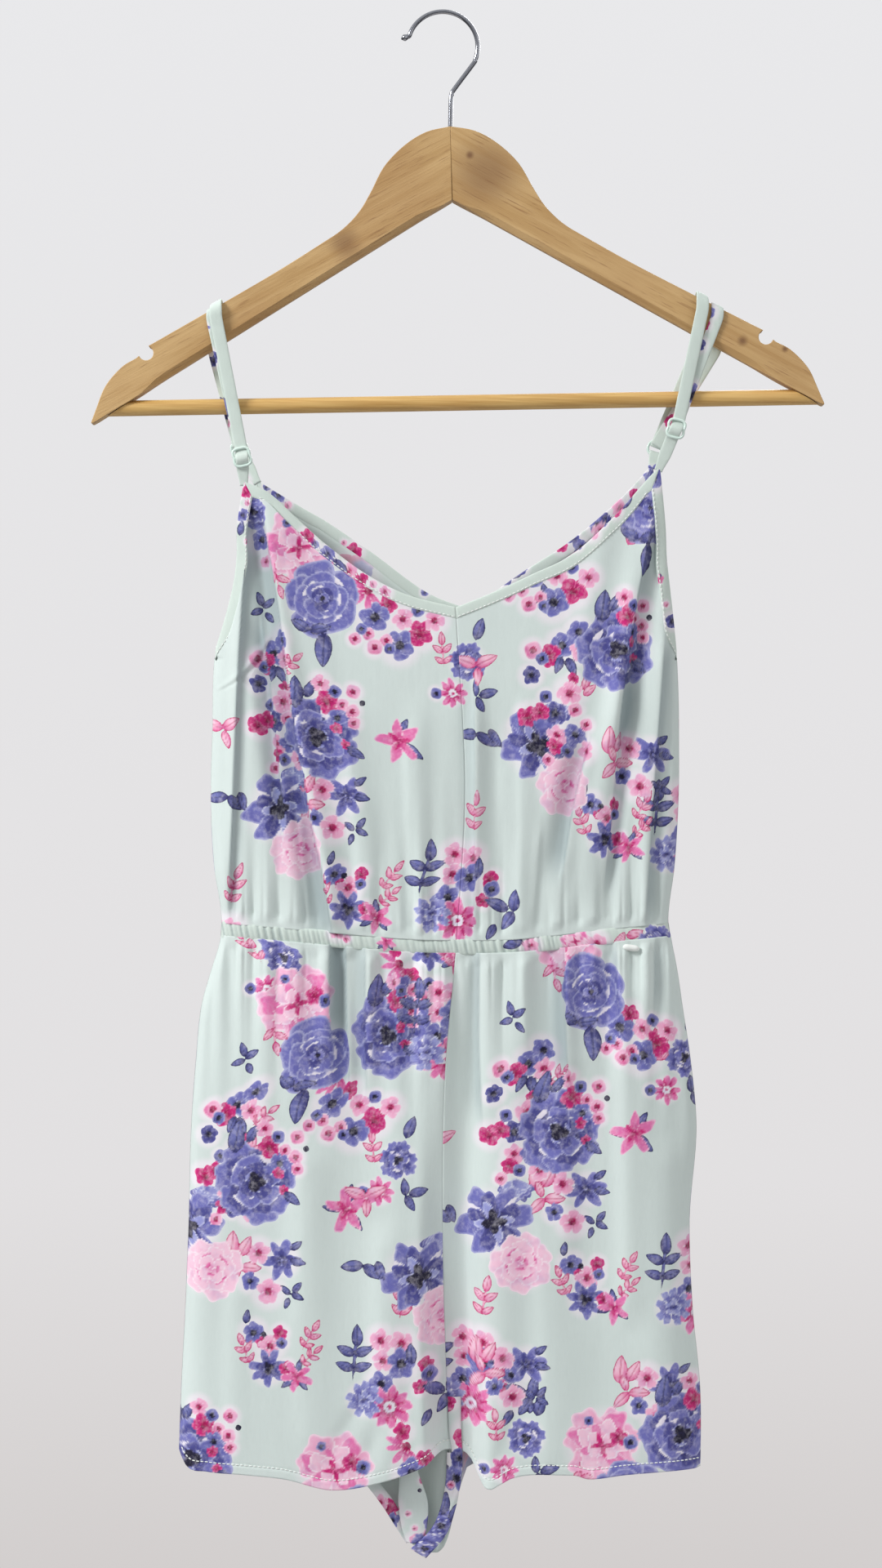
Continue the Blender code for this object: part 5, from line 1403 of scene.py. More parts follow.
def grid_faces(rows: int, columns: int, around: bool = False) -> Array:
    """List the squares of a grid of points.

    Args:
        rows: Rows of points.
        columns: Points in a row.
        around: Whether a row closes on itself.

    Returns:
        Four corners a face.
    """
    row, column = np.meshgrid(np.arange(rows - 1), np.arange(columns if around else columns - 1),
                              indexing="ij")
    ahead = (column + 1) % columns
    corners = (row * columns + column, row * columns + ahead,
               (row + 1) * columns + ahead, (row + 1) * columns + column)
    return np.stack([corner.ravel() for corner in corners], -1)


def rework(mesh: bpy.types.Mesh, weld: float = 0.0) -> None:
    """Turn a closed mesh's faces outwards.

    Args:
        mesh: The mesh.
        weld: Points nearer than this are welded first.
    """
    work = bmesh.new()
    work.from_mesh(mesh)
    if weld:
        bmesh.ops.remove_doubles(work, verts=work.verts, dist=weld)
        bmesh.ops.dissolve_degenerate(work, edges=work.edges, dist=weld)
    bmesh.ops.recalc_face_normals(work, faces=work.faces)
    work.to_mesh(mesh)
    work.free()


def set_map(mesh: bpy.types.Mesh, name: str, values: Array) -> None:
    """Store one value, or one colour, for each point of a mesh.

    Args:
        mesh: The mesh.
        name: The map's name.
        values: One row for each point.
    """
    flat = values.ndim == 1
    layer = mesh.attributes.new(name, "FLOAT" if flat else "FLOAT_COLOR", "POINT")
    if not flat:
        values = np.concatenate((values, np.ones((len(values), 1))), 1).ravel()
    layer.data.foreach_set("value" if flat else "color", values.astype(np.float32))


def loft(name: str, rings: Array, closed: bool = False, plan: PrintPlan = BARE,
         shade: Array | None = None) -> Object:
    """Skin rings of points into a tube with filled ends.

    Args:
        name: The object's name.
        rings: Points, as ring, place in the ring, axis.
        closed: Whether the last ring joins the first instead.
        plan: Its print, if it is of printed cloth.
        shade: Painted shade, how much its points' colour is darkened.

    Returns:
        The object, its faces outwards.
    """
    count, around = rings.shape[:2]
    size, last = count * around, (count - 1) * around
    faces, verts = grid_faces(count, around, around=True).tolist(), rings.reshape(-1, 3)
    steps = [(k, (k + 1) % around) for k in range(around)]
    if closed:
        faces += [(last + k, last + n, n, k) for k, n in steps]
    else:
        verts = np.vstack((verts, rings[0].mean(0), rings[-1].mean(0)))
        faces += [(size, n, k) for k, n in steps] + [(size + 1, last + k, last + n)
                                                     for k, n in steps]
    obj = mesh_object(name, verts, faces)
    rework(obj.data)
    obj.data.shade_smooth()
    dark = np.zeros(len(verts))
    if shade is not None:
        dark[:size] = shade.ravel()
    for key, values in plan.print_on(verts[:, 0], -verts[:, 2]).maps(dark).items():
        set_map(obj.data, key, values)
    return obj


def round_tube(name: str, path: Array, radii: Array | float, around: int,
               closed: bool = False) -> Object:
    """Sweep a round section along a path.

    Args:
        name: The object's name.
        path: Points of the centre line.
        radii: One radius, or one for each point.
        around: Points round the section.
        closed: Whether the path closes on itself.

    Returns:
        The object.
    """
    path = path[:-1] if closed else path
    ahead = unit((np.roll(path, -1, 0) - np.roll(path, 1, 0)) if closed
                 else np.gradient(path, axis=0))
    across = np.cross(ahead, (0.0, 1.0, 0.0))
    across[np.linalg.norm(across, axis=1) < 1e-6] = (1.0, 0.0, 0.0)
    across = unit(across)
    up = np.cross(across, ahead)
    turn = angles(around)[None, :, None]
    radii = np.broadcast_to(radii, (len(path),))[:, None, None]
    return loft(name, path[:, None] + radii * (across[:, None] * np.cos(turn)
                                               + up[:, None] * np.sin(turn)), closed)


def join(main: Object, other: Object) -> Object:
    """Join an object into another one.

    Args:
        main: The object that stays.
        other: The object that goes into it.

    Returns:
        The first object.
    """
    work = bmesh.new()
    for obj in (main, other):
        work.from_mesh(obj.data)
    work.to_mesh(main.data)
    work.free()
    bpy.data.objects.remove(other, do_unlink=True)
    main.data.shade_smooth()
    return main


def hand_in(obj: Object, slot: str, *finishes: Material, node: str = "") -> Object:
    """Dress a finished piece, and say what it rides on and what it stands for.

    Args:
        obj: The piece.
        slot: Not used.
        finishes: Its materials.
        node: The solid that it stands for.

    Returns:
        The piece.
    """
    for finish in finishes:
        obj.data.materials.append(finish)
    if node:
        obj.name = f"{node}_fine"
        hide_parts(node)
    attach(obj, "root")
    LOG.info("%s: %d faces", obj.name, len(obj.data.polygons))
    return obj


# ------------------------------------------------------------ the garment
# The creases that the photograph shows.
BODICE_FOLDS = (
    Fold(((-110, 299.3), (-99.6, 358.7), (-92.2, 414.7), (-80.3, 486.6), (-72.3, 523.7),
          (-66.4, 560.9)), 14, 1.6, 3.2, 7),
    Fold(((-109.5, 367.7), (-103.1, 421.7), (-98.1, 466.8), (-94.6, 491.5)), 6, 1.5, 2.2, 4),
    Fold(((125.9, 308.2), (117.4, 352.8), (110, 402.3), (105, 439.5)), 10, 2, 2.2, 4, -1),
    Fold(((133.8, 381.5), (127.8, 458.3), (121.9, 550.5)), 8, 1.6, 2, 2, -1),
    Fold(((109, 403.8), (103.1, 466.8), (97.1, 529.7)), 8, 1.6, 1.8, 3, -1),
    Fold(((88.7, 439.5), (80.3, 471.7), (71.4, 523.2)), 9, 1.4, 2.4, 5),
    Fold(((18.8, 403.8), (18.8, 560.9)), 7, 1.4, 1.4, 2.5),
    Fold(((-58.5, 417.2), (-52.5, 486.6), (-45.1, 546)), 9, 5, 1.2),
    Fold(((-21.3, 437), (-18.8, 506.4), (-15.4, 556)), 8, 4, 1.1),
    Fold(((48.1, 417.2), (48.1, 486.6), (44.6, 556)), 8, 4, 1.1),
    Fold(((-36.2, 516.3), (-35.2, 556)), 3, 2, 0.8),
    Fold(((-87.7, 466.8), (-83.7, 516.3), (-80.8, 551)), 4, 2, 0.9),
    Fold(((58, 491.5), (55.5, 526.2), (53, 556)), 4, 2, 0.9, 0, -1),
    Fold(((-119.9, 326), (-124.4, 402.3), (-127.3, 478.2), (-130.3, 544.6)), 6, 1.5, 2, 2, -1),
    Fold(((-104.1, 378.6), (-127.8, 405.3), (-139.2, 411.3)), 3.5, 1.2, 0.7, 0, -1),
    Fold(((120.9, 385.5), (131.8, 389)), 4, 1.5, 0.5),
)
SHORTS_FOLDS = (
    Fold(((-68.9, 556), (-68.9, 590.6), (-67.9, 620.4)), 6, 1.6, 1.8, 3, -1),
    Fold(((-59, 556), (-58, 605.5), (-56, 655.1)), 5, 1.5, 2.2, 4),
    Fold(((-47.1, 560.9), (-47.1, 600.5), (-46.1, 650.1)), 6, 1.6, 1.8, 3),
    Fold(((-29.7, 560.9), (-29.2, 595.6), (-27.3, 627.8)), 6, 1.8, 1.5, 2),
    Fold(((-10.9, 560.9), (-11.4, 605.5), (-10.4, 635.2)), 9, 3, 1.6),
    Fold(((21.8, 560.9), (21.3, 615.4), (23.3, 669.9)), 9, 2.2, 1.8, 2),
    Fold(((48.1, 560.9), (48.6, 590.6), (50, 625.3)), 6, 3, 1.2),
    Fold(((72.8, 560.9), (73.3, 600.5), (74.8, 647.6)), 13, 2.2, 3.2, 5),
    Fold(((104.6, 560.9), (104.6, 585.7), (106.5, 608.5)), 6, 1.8, 1.6, 2),
    Fold(((109, 585.7), (110.5, 684.8), (111.5, 788.8)), 9, 7, 2.2),
    Fold(((127.3, 560.9), (127.3, 580.7), (126.4, 605.5)), 7, 1.8, 1.6, 2, -1),
    Fold(((-105.5, 560.9), (-109.5, 635.2), (-111.5, 694.7)), 14, 8, 1.6),
    Fold(((-80.8, 684.8), (-84.7, 783.9), (-78.8, 873.1)), 16, 10, 1.5),
    Fold(((-36.2, 734.3), (-37.2, 808.7), (-32.2, 878)), 12, 8, 1.6),
    Fold(((58, 684.8), (61.9, 783.9), (63.9, 883)), 14, 8, 1.5),
    Fold(((134.8, 684.8), (136.3, 783.9), (138.2, 878)), 12, 8, 1.3, 0, -1),
    Fold(((-22.3, 828.5), (-36.2, 853.3), (-51, 883)), 9, 7, -1),
    Fold(((-45.1, 833.4), (-60.9, 858.2), (-71.8, 883)), 7, 6, -0.8),
    Fold(((48.1, 833.4), (39.1, 858.2), (31.2, 883)), 8, 6, -0.9),
    Fold(((-145.2, 734.3), (-147.2, 808.7), (-148.2, 873.1)), 10, 8, 1.2),
    Fold(((-124.4, 764.1), (-126.4, 823.5), (-125.4, 878)), 9, 7, 1),
)


def both_faces(folds: tuple[Fold, ...]) -> dict[bool, tuple[Fold, ...]]:
    """Return the folds of the front, and the like ones of the back."""
    return {False: folds, True: tuple(fold.mirrored() for fold in folds)}


BODICE_CREASES, SHORTS_CREASES = both_faces(BODICE_FOLDS), both_faces(SHORTS_FOLDS)
LINING_STEP = 3         # fine squares to one square of the wrong side


@dataclass
class ClothPanel:
    """One panel of printed cloth: a fine grid on the form, with a thin wall."""

    name: str
    back: bool
    plan: PrintPlan
    folds: tuple[Fold, ...]
    width: float            # of its grid, about
    height: float
    spacing: float
    wall: float = 0.8

    def shares(self) -> tuple[Array, Array]:
        """Return even shares across and up the panel."""
        count = [LINING_STEP * int(size / self.spacing / LINING_STEP)
                 for size in (self.width, self.height)]
        return tuple(np.meshgrid(*(np.linspace(0.0, 1.0, number + 1) for number in count)))

    def grid(self, place: Array, from_side: Array, lift: Array | float = 0.0) -> Object:
        """Lay the grid on the form and paint it.

        Args:
            place: Points of (across, drop), as row, column, axis.
            from_side: Distances from the side seam.
            lift: How much thicker the cloth is, as at a hem.

        Returns:
            The panel's object.
        """
        across, drop = place[..., 0], place[..., 1]
        depth = FORM.depth(across, drop, self.back, self.folds) + lift
        outer = stand(across, FORM.round_seam(depth, from_side), drop, self.back)
        facing = 1.0 if self.back else -1.0
        inner = outer[::LINING_STEP, ::LINING_STEP] - (0.0, facing * self.wall, 0.0)
        verts = np.vstack((outer.reshape(-1, 3), inner.reshape(-1, 3)))
        near = grid_faces(*across.shape)
        far = grid_faces(*inner.shape[:2])[:, ::-1] + across.size
        first = verts[near[0]]
        faces = near.tolist() + far.tolist() + self.rim(*across.shape)
        if np.cross(first[1] - first[0], first[2] - first[0])[1] * facing < 0.0:
            faces = [face[::-1] for face in faces]
        obj = mesh_object(self.name, verts, faces)
        self.paint(obj.data, across, drop)
        kind = np.zeros(len(faces), dtype=np.int32)
        kind[len(near):] = 1
        kind[len(near) + len(far):] = 2
        obj.data.polygons.foreach_set("material_index", (kind == 1).astype(np.int32))
        obj.data.polygons.foreach_set("use_smooth", kind < 2)
        return obj

    @staticmethod
    def rim(rows: int, columns: int) -> list:
        """List the faces that join the fine face to the coarse wrong side.

        Args:
            rows: Rows of the fine face.
            columns: Its columns.

        Returns:
            Corners of each face.
        """
        fine = np.arange(rows * columns).reshape(rows, columns)
        tall, wide = (rows - 1) // LINING_STEP + 1, (columns - 1) // LINING_STEP + 1
        coarse = rows * columns + np.arange(tall * wide).reshape(tall, wide)
        faces = []
        for near, away in ((fine[0], coarse[0]), (fine[:, -1], coarse[:, -1]),
                           (fine[-1, ::-1], coarse[-1, ::-1]), (fine[::-1, 0], coarse[::-1, 0])):
            for k in range(len(away) - 1):
                run = near[k * LINING_STEP:(k + 1) * LINING_STEP + 1]
                faces.append([*away[k:k + 2].tolist(), *run[::-1].tolist()])
        return faces

    def paint(self, mesh: bpy.types.Mesh, across: Array, drop: Array) -> None:
        """Print the cloth, with what its folds hide left out of sight, and paint shade into the
        pockets beside them.

        Args:
            mesh: The panel's mesh.
            across: Its fine points, across.
            drop: The same, down.
        """
        places = [(fold, fold.reach(across, drop)) for fold in self.folds]
        hidden = sum(fold.hidden(*place) for fold, place in places)
        # painted shade: how much the colour is darkened in the pockets beside the folds
        shade = np.clip(sum(fold.shadow(*place) for fold, place in places), 0.0, 1.0)
        canvas = self.plan.print_on((across + hidden).ravel(), drop.ravel())
        for name, values in canvas.maps(shade.ravel()).items():
            full = values.reshape(*across.shape, *values.shape[1:])
            coarse = full[::LINING_STEP, ::LINING_STEP].reshape(-1, *values.shape[1:])
            set_map(mesh, name, np.concatenate((values, coarse)))


@dataclass
class Bodice:
    """Two fronts that meet at a centre seam, and a back in one piece."""

    front_spacing: float = 0.86
    back_spacing: float = 1.15
    height: float = 260.0
    half: float = 130.0
    neck_ends: tuple[float, float] = (0.60, 0.68)   # above this the sides aren't rounded over

    def build(self, finishes: tuple[Material, Material]) -> None:
        """Make the three panels.

        Args:
            finishes: The cloth's face and its wrong side.
        """
        for (name, side), plan in zip(SIDES, (LEFT_FRONT, RIGHT_FRONT)):
            panel = ClothPanel(f"bodice_front_{name}", False, plan, BODICE_CREASES[False],
                               140.0, self.height, self.front_spacing)
            share, rise = panel.shares()
            self.finish(panel, FORM.bodice(side, False, share, rise), share, rise, finishes,
                        flat=(0.170, 0.300), held="hung", area=0.0400)
        panel = ClothPanel("bodice_back", True, BACK_BODICE, BODICE_CREASES[True],
                           280.0, self.height, self.back_spacing)
        share, rise = panel.shares()
        halves = [FORM.bodice(side, True, 2.0 * np.minimum(part, 0.5), rise)
                  for side, part in ((-1, share), (1, 1.0 - share))]
        self.finish(panel, np.where((share <= 0.5)[..., None], *halves),
                    2.0 * np.minimum(share, 1.0 - share), rise, finishes,
                    flat=(0.310, 0.290), held="hung", area=0.0760)

    def finish(self, panel: ClothPanel, place: Array, share: Array, rise: Array,
               finishes: tuple[Material, Material], **sheet: object) -> None:
        """Make one panel, dress it and put it in place of its solid.

        Args:
            panel: The panel.
            place: Its points of (across, drop).
            share: Their shares from a side to the middle.
            rise: Their shares from the waist up.
            finishes: The cloth's face and its wrong side.
            sheet: Not used.
        """
        obj = panel.grid(place, share * self.half + 200.0 * ease(rise, *self.neck_ends))
        hand_in(obj, "printed_cloth", *finishes, node=panel.name)


@dataclass
class Shorts:
    """Four panels under the casing; the crotch droops below the front hem."""

    front_spacing: float = 0.88
    back_spacing: float = 1.15
    half: float = 145.0
    length: float = 320.0

    def build(self, finishes: tuple[Material, Material]) -> None:
        """Make the four panels.

        Args:
            finishes: The cloth's face and its wrong side.
        """
        for place, back in FACES:
            for name, side in SIDES:
                panel = ClothPanel(f"shorts_{place}_{name}", back, LEG_PRINTS[side, back],
                                   SHORTS_CREASES[back], 152.0, 325.0,
                                   self.back_spacing if back else self.front_spacing)
                share, fall = panel.shares()
                hem = (1.0 - fall) * self.length
                lift = 0.45 * (1.0 - ease(hem, 4.8, 5.8)) - 0.25 * bell((hem - 5.9) / 0.9)
                obj = panel.grid(FORM.shorts(side, back, share, fall), share * self.half, lift)
                hand_in(obj, "printed_cloth", *finishes, node=panel.name)


@dataclass
class Bindings:
    """Narrow folded strips round the neck and the armholes."""

    thick: float = 1.5
    sunk: float = 0.35
    around: int = 20

    def build(self, finish: Material) -> None:
        """Make the eight strips.

        Args:
            finish: The trim's material.
        """
        for place, back in FACES:
            for name, side in SIDES:
                for kind, bound in zip(("armhole", "neck"), FORM.bound[side, back]):
                    title = f"{kind}_binding_{name}_{place}"
                    obj = self.strip(title, bound, back, kind == "armhole")
                    hand_in(obj, "trim_cloth", finish, node=title)

    def strip(self, name: str, bound: BoundEdge, back: bool, on_seam: bool) -> Object:
        """Loft one strip with a rounded section.

        Args:
            name: The strip's name.
            bound: Its edge.
            back: Whether it is on the back.
            on_seam: Whether it starts on the side seam.

        Returns:
            The strip's object.
        """
        share = np.linspace(0.0, 1.0, int(bound.edge.length / 1.3) + 1)
        if on_seam:
            share = np.concatenate(([0.0, 0.0], share))
        angle = angles(self.around)
        width = 0.5 - 0.5 * boxy(np.cos(angle), 0.7)
        lift = boxy(np.sin(angle), 0.6)
        place = bound.place(*np.meshgrid(share, 0.02 + 0.96 * width, indexing="ij"))
        across, drop = place[..., 0], place[..., 1]
        depth = FORM.depth(across, drop, back) - self.sunk + lift * self.thick / 2
        if on_seam:
            depth[0] = 0.05 * lift - self.sunk
            depth[1] = 0.7 * depth[1]
        return loft(name, stand(across, depth, drop, back),
                    plan=TRIM_PRINT if back or on_seam else NECK_PRINT)


@dataclass
class Waistband:
    """The elastic casing, drawn up in fine slanting gathers."""

    top: float = 550.0
    middle: float = 5.25        # below its top
    half_height: float = 5.1
    width: float = 274.0
    plump: float = 1.7
    spacing: float = 0.8
    around: int = 28

    def build(self, finish: Material) -> None:
        """Make the casing's front and back.

        Args:
            finish: The trim's material.
        """
        for name, back in FACES:
            title = f"waistband_{name}"
            hand_in(self.tube(title, back), "trim_cloth", finish, node=title)

    def tube(self, name: str, back: bool) -> Object:
        """Loft half of the casing from side seam to side seam.

        Args:
            name: Its name.
            back: Whether it is the back.

        Returns:
            The object.
        """
        share = np.linspace(0.0, 1.0, int(self.width / self.spacing) + 1)[:, None]
        angle = angles(self.around)[None]
        level = (self.top + self.middle - self.half_height * np.cos(angle)) * np.ones_like(share)
        left, right = -FORM.half[-1](level), FORM.half[1](level)
        across = left + (right - left) * share
        drop = FORM.waist(across) + level - self.top
        crown = FORM.crown(share)
        slant = across + (0.30 if back else -0.22) * (level - self.top)
        ribs = (np.cos(ROUND * (slant / 3.3 + 0.8 * np.sin(slant / 11.0)))
                + 0.7 * np.cos(ROUND * (slant / 5.9 + 0.6 * np.sin(slant / 17.0))))
        ribs = ribs * (0.75 + 0.35 * np.sin(slant / 23.0))
        if not back:
            ribs = ribs * (1.0 - 0.6 * ease(across, 66.0, 76.0))
        face = np.clip(np.sin(angle), 0.0, 1.0)
        swell = boxy(np.sin(angle), 0.75) * self.plump
        seam = 2.1 + (FORM.full[back](555.0) - 1.5) * crown - self.plump
        depth = seam + swell * np.minimum(0.25 + crown, 1.0) + 0.26 * ribs * face
        ends = np.clip(np.minimum(share, 1.0 - share) * self.width / 2.0, 0.0, 1.0)
        depth = np.maximum(depth, 0.15) * np.sqrt(1.0 - (1.0 - ends) ** 2)
        # painted shade: the furrows between the ribs are darkened through the shade map
        return loft(name, stand(across, depth, drop, back), plan=TRIM_PRINT,
                    shade=np.clip(-0.55 * ribs * face, 0.0, 0.6))


@dataclass
class CrotchFolds:
    """Strips of the back leg that turn out where the crotch droops below the hem."""

    wall: float = 0.5
    rings: int = 70
    # name, left edge, right edge, both as (across, drop), depth behind the middle, bulge
    strips: tuple = (
        ("bright", ((-29.7, 868), (-27, 885), (-27.5, 903), (-25.5, 918), (-22.5, 927)),
         ((-18, 868), (-15, 885), (-9.5, 902), (-10, 918), (-13, 928.5)), 1.0, 2.2),
        ("rim", ((2, 872), (1.2, 890), (-2, 906), (-8, 919), (-20, 930.5)),
         ((10.4, 872), (10.2, 890), (7.4, 906), (1.6, 922), (-10.5, 936.2)), -1.4, 1.6),
        ("seam", ((2.4, 838), (3.4, 858), (5.4, 878), (5, 896), (1.6, 912)),
         ((10.6, 838), (10.8, 858), (11.6, 876), (10.2, 892), (5.2, 908)), -2.2, 1.6),
        ("hem", ((-51, 888.5), (-44.5, 896), (-37, 906), (-29, 918.5), (-22.6, 928.5)),
         ((-44, 885.5), (-37.5, 893), (-30, 903), (-24, 914), (-19, 926)), 4.0, 1.2),
    )

    def build(self, finish: Material) -> None:
        """Make the strips.

        Args:
            finish: The printed cloth.
        """
        turn, share = angles(28), np.linspace(0.0, 1.0, self.rings)
        for name, left, right, depth, bulge in self.strips:
            first, last = Outline(left).at(share), Outline(right).at(share)
            mix = (0.5 + 0.5 * np.cos(turn))[None, :, None]
            place = first[:, None] * (1.0 - mix) + last[:, None] * mix
            lift = np.where(np.sin(turn) > 0.0, bulge, bulge - self.wall) * np.abs(np.sin(turn))
            deep = depth - lift[None] * (1.0 - 0.5 * share[:, None] ** 3)
            obj = loft(f"crotch_fold_{name}", stand(place[..., 0], deep, place[..., 1], True),
                       plan=TRIM_PRINT)
            length = Outline(left).length * MM
            hand_in(obj, "printed_cloth", finish)


@dataclass
class ThreadBar:
    """The short rounded thread bar sewn across the casing."""

    start: tuple[float, float] = (108.2, 565.2)
    stop: tuple[float, float] = (118.2, 566.6)
    radius: float = 2.0

    def build(self, finish: Material) -> None:
        """Make the bar.

        Args:
            finish: The thread's material.
        """
        share = np.linspace(0.0, 1.0, 24)
        across, drop = (first + (last - first) * share
                        for first, last in zip(self.start, self.stop))
        depth = FORM.depth(np.array([113.0]), np.array([562.0]), False)[0] + 1.6
        plump = np.sqrt(1.0 - np.clip(np.abs(2.0 * share - 1.0), 0.0, 0.98) ** 4)
        bar = round_tube("casing_thread_bar", stand(across, np.full(24, depth), drop),
                         self.radius * plump, 14)
        hand_in(bar, "trim_cloth", finish)


# ------------------------------------------------------------ the hanger
@dataclass
class Hanger:
    """Two wooden arms, a dowel and a bent steel hook."""

    centre: float = 2.4
    tilt: float = math.radians(1.47)
    half: float = 222.4
    depth: float = 12.0
    rounding: float = 2.6
    facet: float = 3.4          # chamfer of the arms' lower edges
    joint: float = 0.03         # half the gap between the arms
    notch: tuple[float, float, float] = (187.6, 201.6, 4.5)     # out, drop, radius
    bar_radius: float = 4.75
    bar_drop: tuple[float, float] = (234.0, 238.0)
    inner_drop: float = 113.6
    wire: float = 1.4
    hook_radius: float = 21.3
    hook_centre: tuple[float, float] = (-0.5, 19.9)
    ARM_TOP: ClassVar[Rows] = (
        (0.0, 69.3), (14.9, 72.4), (28.5, 80.4), (40.8, 92.7), (49.0, 107.5), (56.5, 119.5),
        (66.9, 129.9), (80.5, 138.6), (109.0, 155.5), (146.0, 175.8), (181.5, 195.0),
    )
    ARM_END: ClassVar[Rows] = (
        (193.5, 204.6), (202.6, 209.9), (212.7, 221.1), (219.1, 235.8), (222.4, 243.0),
        (210.8, 237.5), (198.2, 230.4),
    )

    def place(self, out: float, drop: float) -> tuple[float, float]:
        """Turn a place in the hanger's own frame into (across, height)."""
        across, cos, sin = self.centre + out, math.cos(self.tilt), math.sin(self.tilt)
        return across * cos + drop * sin, across * sin - drop * cos

    def under(self, out: float) -> float:
        """Return the drop of the arms' lower edge at a place outwards."""
        return self.inner_drop + out * self.slope

    @property
    def slope(self) -> float:
        """Return the slope of the arms' lower edge."""
        out, drop = self.ARM_END[-1]
        return (drop - self.inner_drop) / out

    def build(self, wood: dict[int, Material], bar: Material, steel: Material) -> None:
        """Make the arms, the bar and the hook.

        Args:
            wood: The finish of each arm, by side.
            bar: The dowel's finish.
            steel: The hook's finish.
        """
        for name, side in SIDES:
            arm = f"hanger_arm_{name}"
            hand_in(self.arm(arm, side), "hanger_wood", wood[side], node=arm)
        hand_in(self.dowel("hanger_bar"), "bar_wood", bar, node="hanger_bar")
        hand_in(self.hook("hanger_hook"), "hook_metal", steel, node="hanger_hook")

    def outline(self) -> list[tuple[float, float, float]]:
        """Walk an arm's outline in its own frame.

        Returns:
            Points of (out, drop, share of the lower facet).
        """
        places = Outline(self.ARM_TOP).at(np.linspace(0.0, 1.0, 61)).tolist()
        places[0] = (self.joint, self.ARM_TOP[0][1])
        out, drop, radius = self.notch
        for degrees in np.linspace(110.0, 340.0, 15):
            angle = math.radians(degrees)
            places.append((out + radius * math.cos(angle), drop - radius * math.sin(angle)))
        places += even_path(self.ARM_END[:4], 1.2).tolist()
        places += [(220.6, 239.6), (221.6, 242.0), (221.9, 243.2), (220.8, 243.2), (218.0, 241.8)]
        loop = [(x, z, 0.0) for x, z in (*places, *self.ARM_END[5:])]
        for x in np.linspace(196.0, self.joint, 40):
            share = float(ease(x, 2.0, 22.0) * (1.0 - ease(x, 176.0, 195.0)))
            loop.append((x, self.under(x), share))
        return loop

    def arm(self, name: str, side: int) -> Object:
        """Make one arm: a flat board with rounded edges and a facet along its lower ones.

        Args:
            name: Its name.
            side: -1 for the left arm, 1 for the right one.

        Returns:
            The object.
        """
        loop, rings = self.outline(), []
        for share, level in ((1.0, -1), (0.0, -1), (0.0, 1), (1.0, 1)):
            for out, drop, facet in loop:
                cut = self.facet * facet
                shift = share * cut / math.hypot(1.0, self.slope)
                x, z = self.place(side * (out + shift * self.slope), drop - shift)
                rings.append((x, level * (self.depth / 2 - (1.0 - share) * cut), z))
        count = len(loop)
        faces = grid_faces(4, count, around=True).tolist()
        faces += [list(range(count)), list(range(3 * count, 4 * count))[::-1]]
        obj = mesh_object(name, np.array(rings), faces)
        rework(obj.data, weld=0.00002)
        obj.data.set_sharp_from_angle(angle=math.radians(30.0))
        rounding = obj.modifiers.new("rounded_edges", "BEVEL")
        rounding.width = self.rounding * MM
        rounding.segments = 5
        rounding.limit_method = "ANGLE"
        rounding.angle_limit = math.radians(50.0)
        rounding.harden_normals = True
        return obj

    def dowel(self, name: str) -> Object:
        """Make the bar, cut slanting under the two arms.

        Args:
            name: Its name.

        Returns:
            The object.
        """
        ends = [np.array(self.place(side * (self.half - 2.0), drop))
                for side, drop in zip((-1, 1), self.bar_drop)]
        ahead, angle = unit(ends[1] - ends[0]), angles(40)
        rise, out = self.bar_radius * np.sin(angle), self.bar_radius * np.cos(angle)
        lift, stops = np.array((-ahead[1], ahead[0])) * rise[:, None], []
        for end, side in zip(ends, (-1, 1)):
            first, last = (np.array(self.place(side * far, self.under(far) + 0.3))
                           for far in (60.0, 240.0))
            edge, gap = last - first, first - end - lift
            run = gap[:, 0] * edge[1] - gap[:, 1] * edge[0]
            run /= ahead[0] * edge[1] - ahead[1] * edge[0]
            stops.append(np.where(side * run > 0.0, 0.0, run))
        length, rings = np.linalg.norm(ends[1] - ends[0]), []
        for t in np.linspace(0.0, 1.0, 40):
            walk = stops[0] * (1.0 - t) + (length + stops[1]) * t
            flat = ends[0] + ahead * walk[:, None] + lift
            rings.append(np.stack((flat[:, 0], out, flat[:, 1]), -1))
        obj = loft(name, np.array(rings))
        obj.data.set_sharp_from_angle(angle=math.radians(50.0))
        return obj

    def hook(self, name: str) -> Object:
        """Make the hook: a stem, its lean, the ring and the small ball.

        Args:
            name: Its name.

        Returns:
            The object.
        """
        across, height = self.place(0.0, self.ARM_TOP[0][1] - 0.3)
        points = [(across, height), (across + 0.2, height + 9.0)]
        points += [(across + right, -drop) for right, drop in
                   ((0.4, 52.0), (0.9, 48.6), (2.4, 45.6))]
        across, drop = self.hook_centre
        for degrees in np.linspace(-28.0, 162.0, 33):
            angle = math.radians(degrees)
            points.append((across + self.hook_radius * math.cos(angle),
                           self.hook_radius * math.sin(angle) - drop))
        across, height = points[-1]
        points += [(across - 0.9 * k, height - 0.35 * k) for k in (1.5, 2.5, 3.5, 4.5, 5.5)]
        path = even_path([(x, 0.0, z) for x, z in points], 0.6)
        left = np.linalg.norm(path - path[-1], axis=1)
        ball = 1.0 + 0.45 * bell((left - 2.2) / 1.4)
        tip = np.sqrt(np.clip(left / 1.8, 0.02, 1.0))
        return round_tube(name, path, self.wire * np.where(left < 8.0, ball * tip, 1.0), 20)


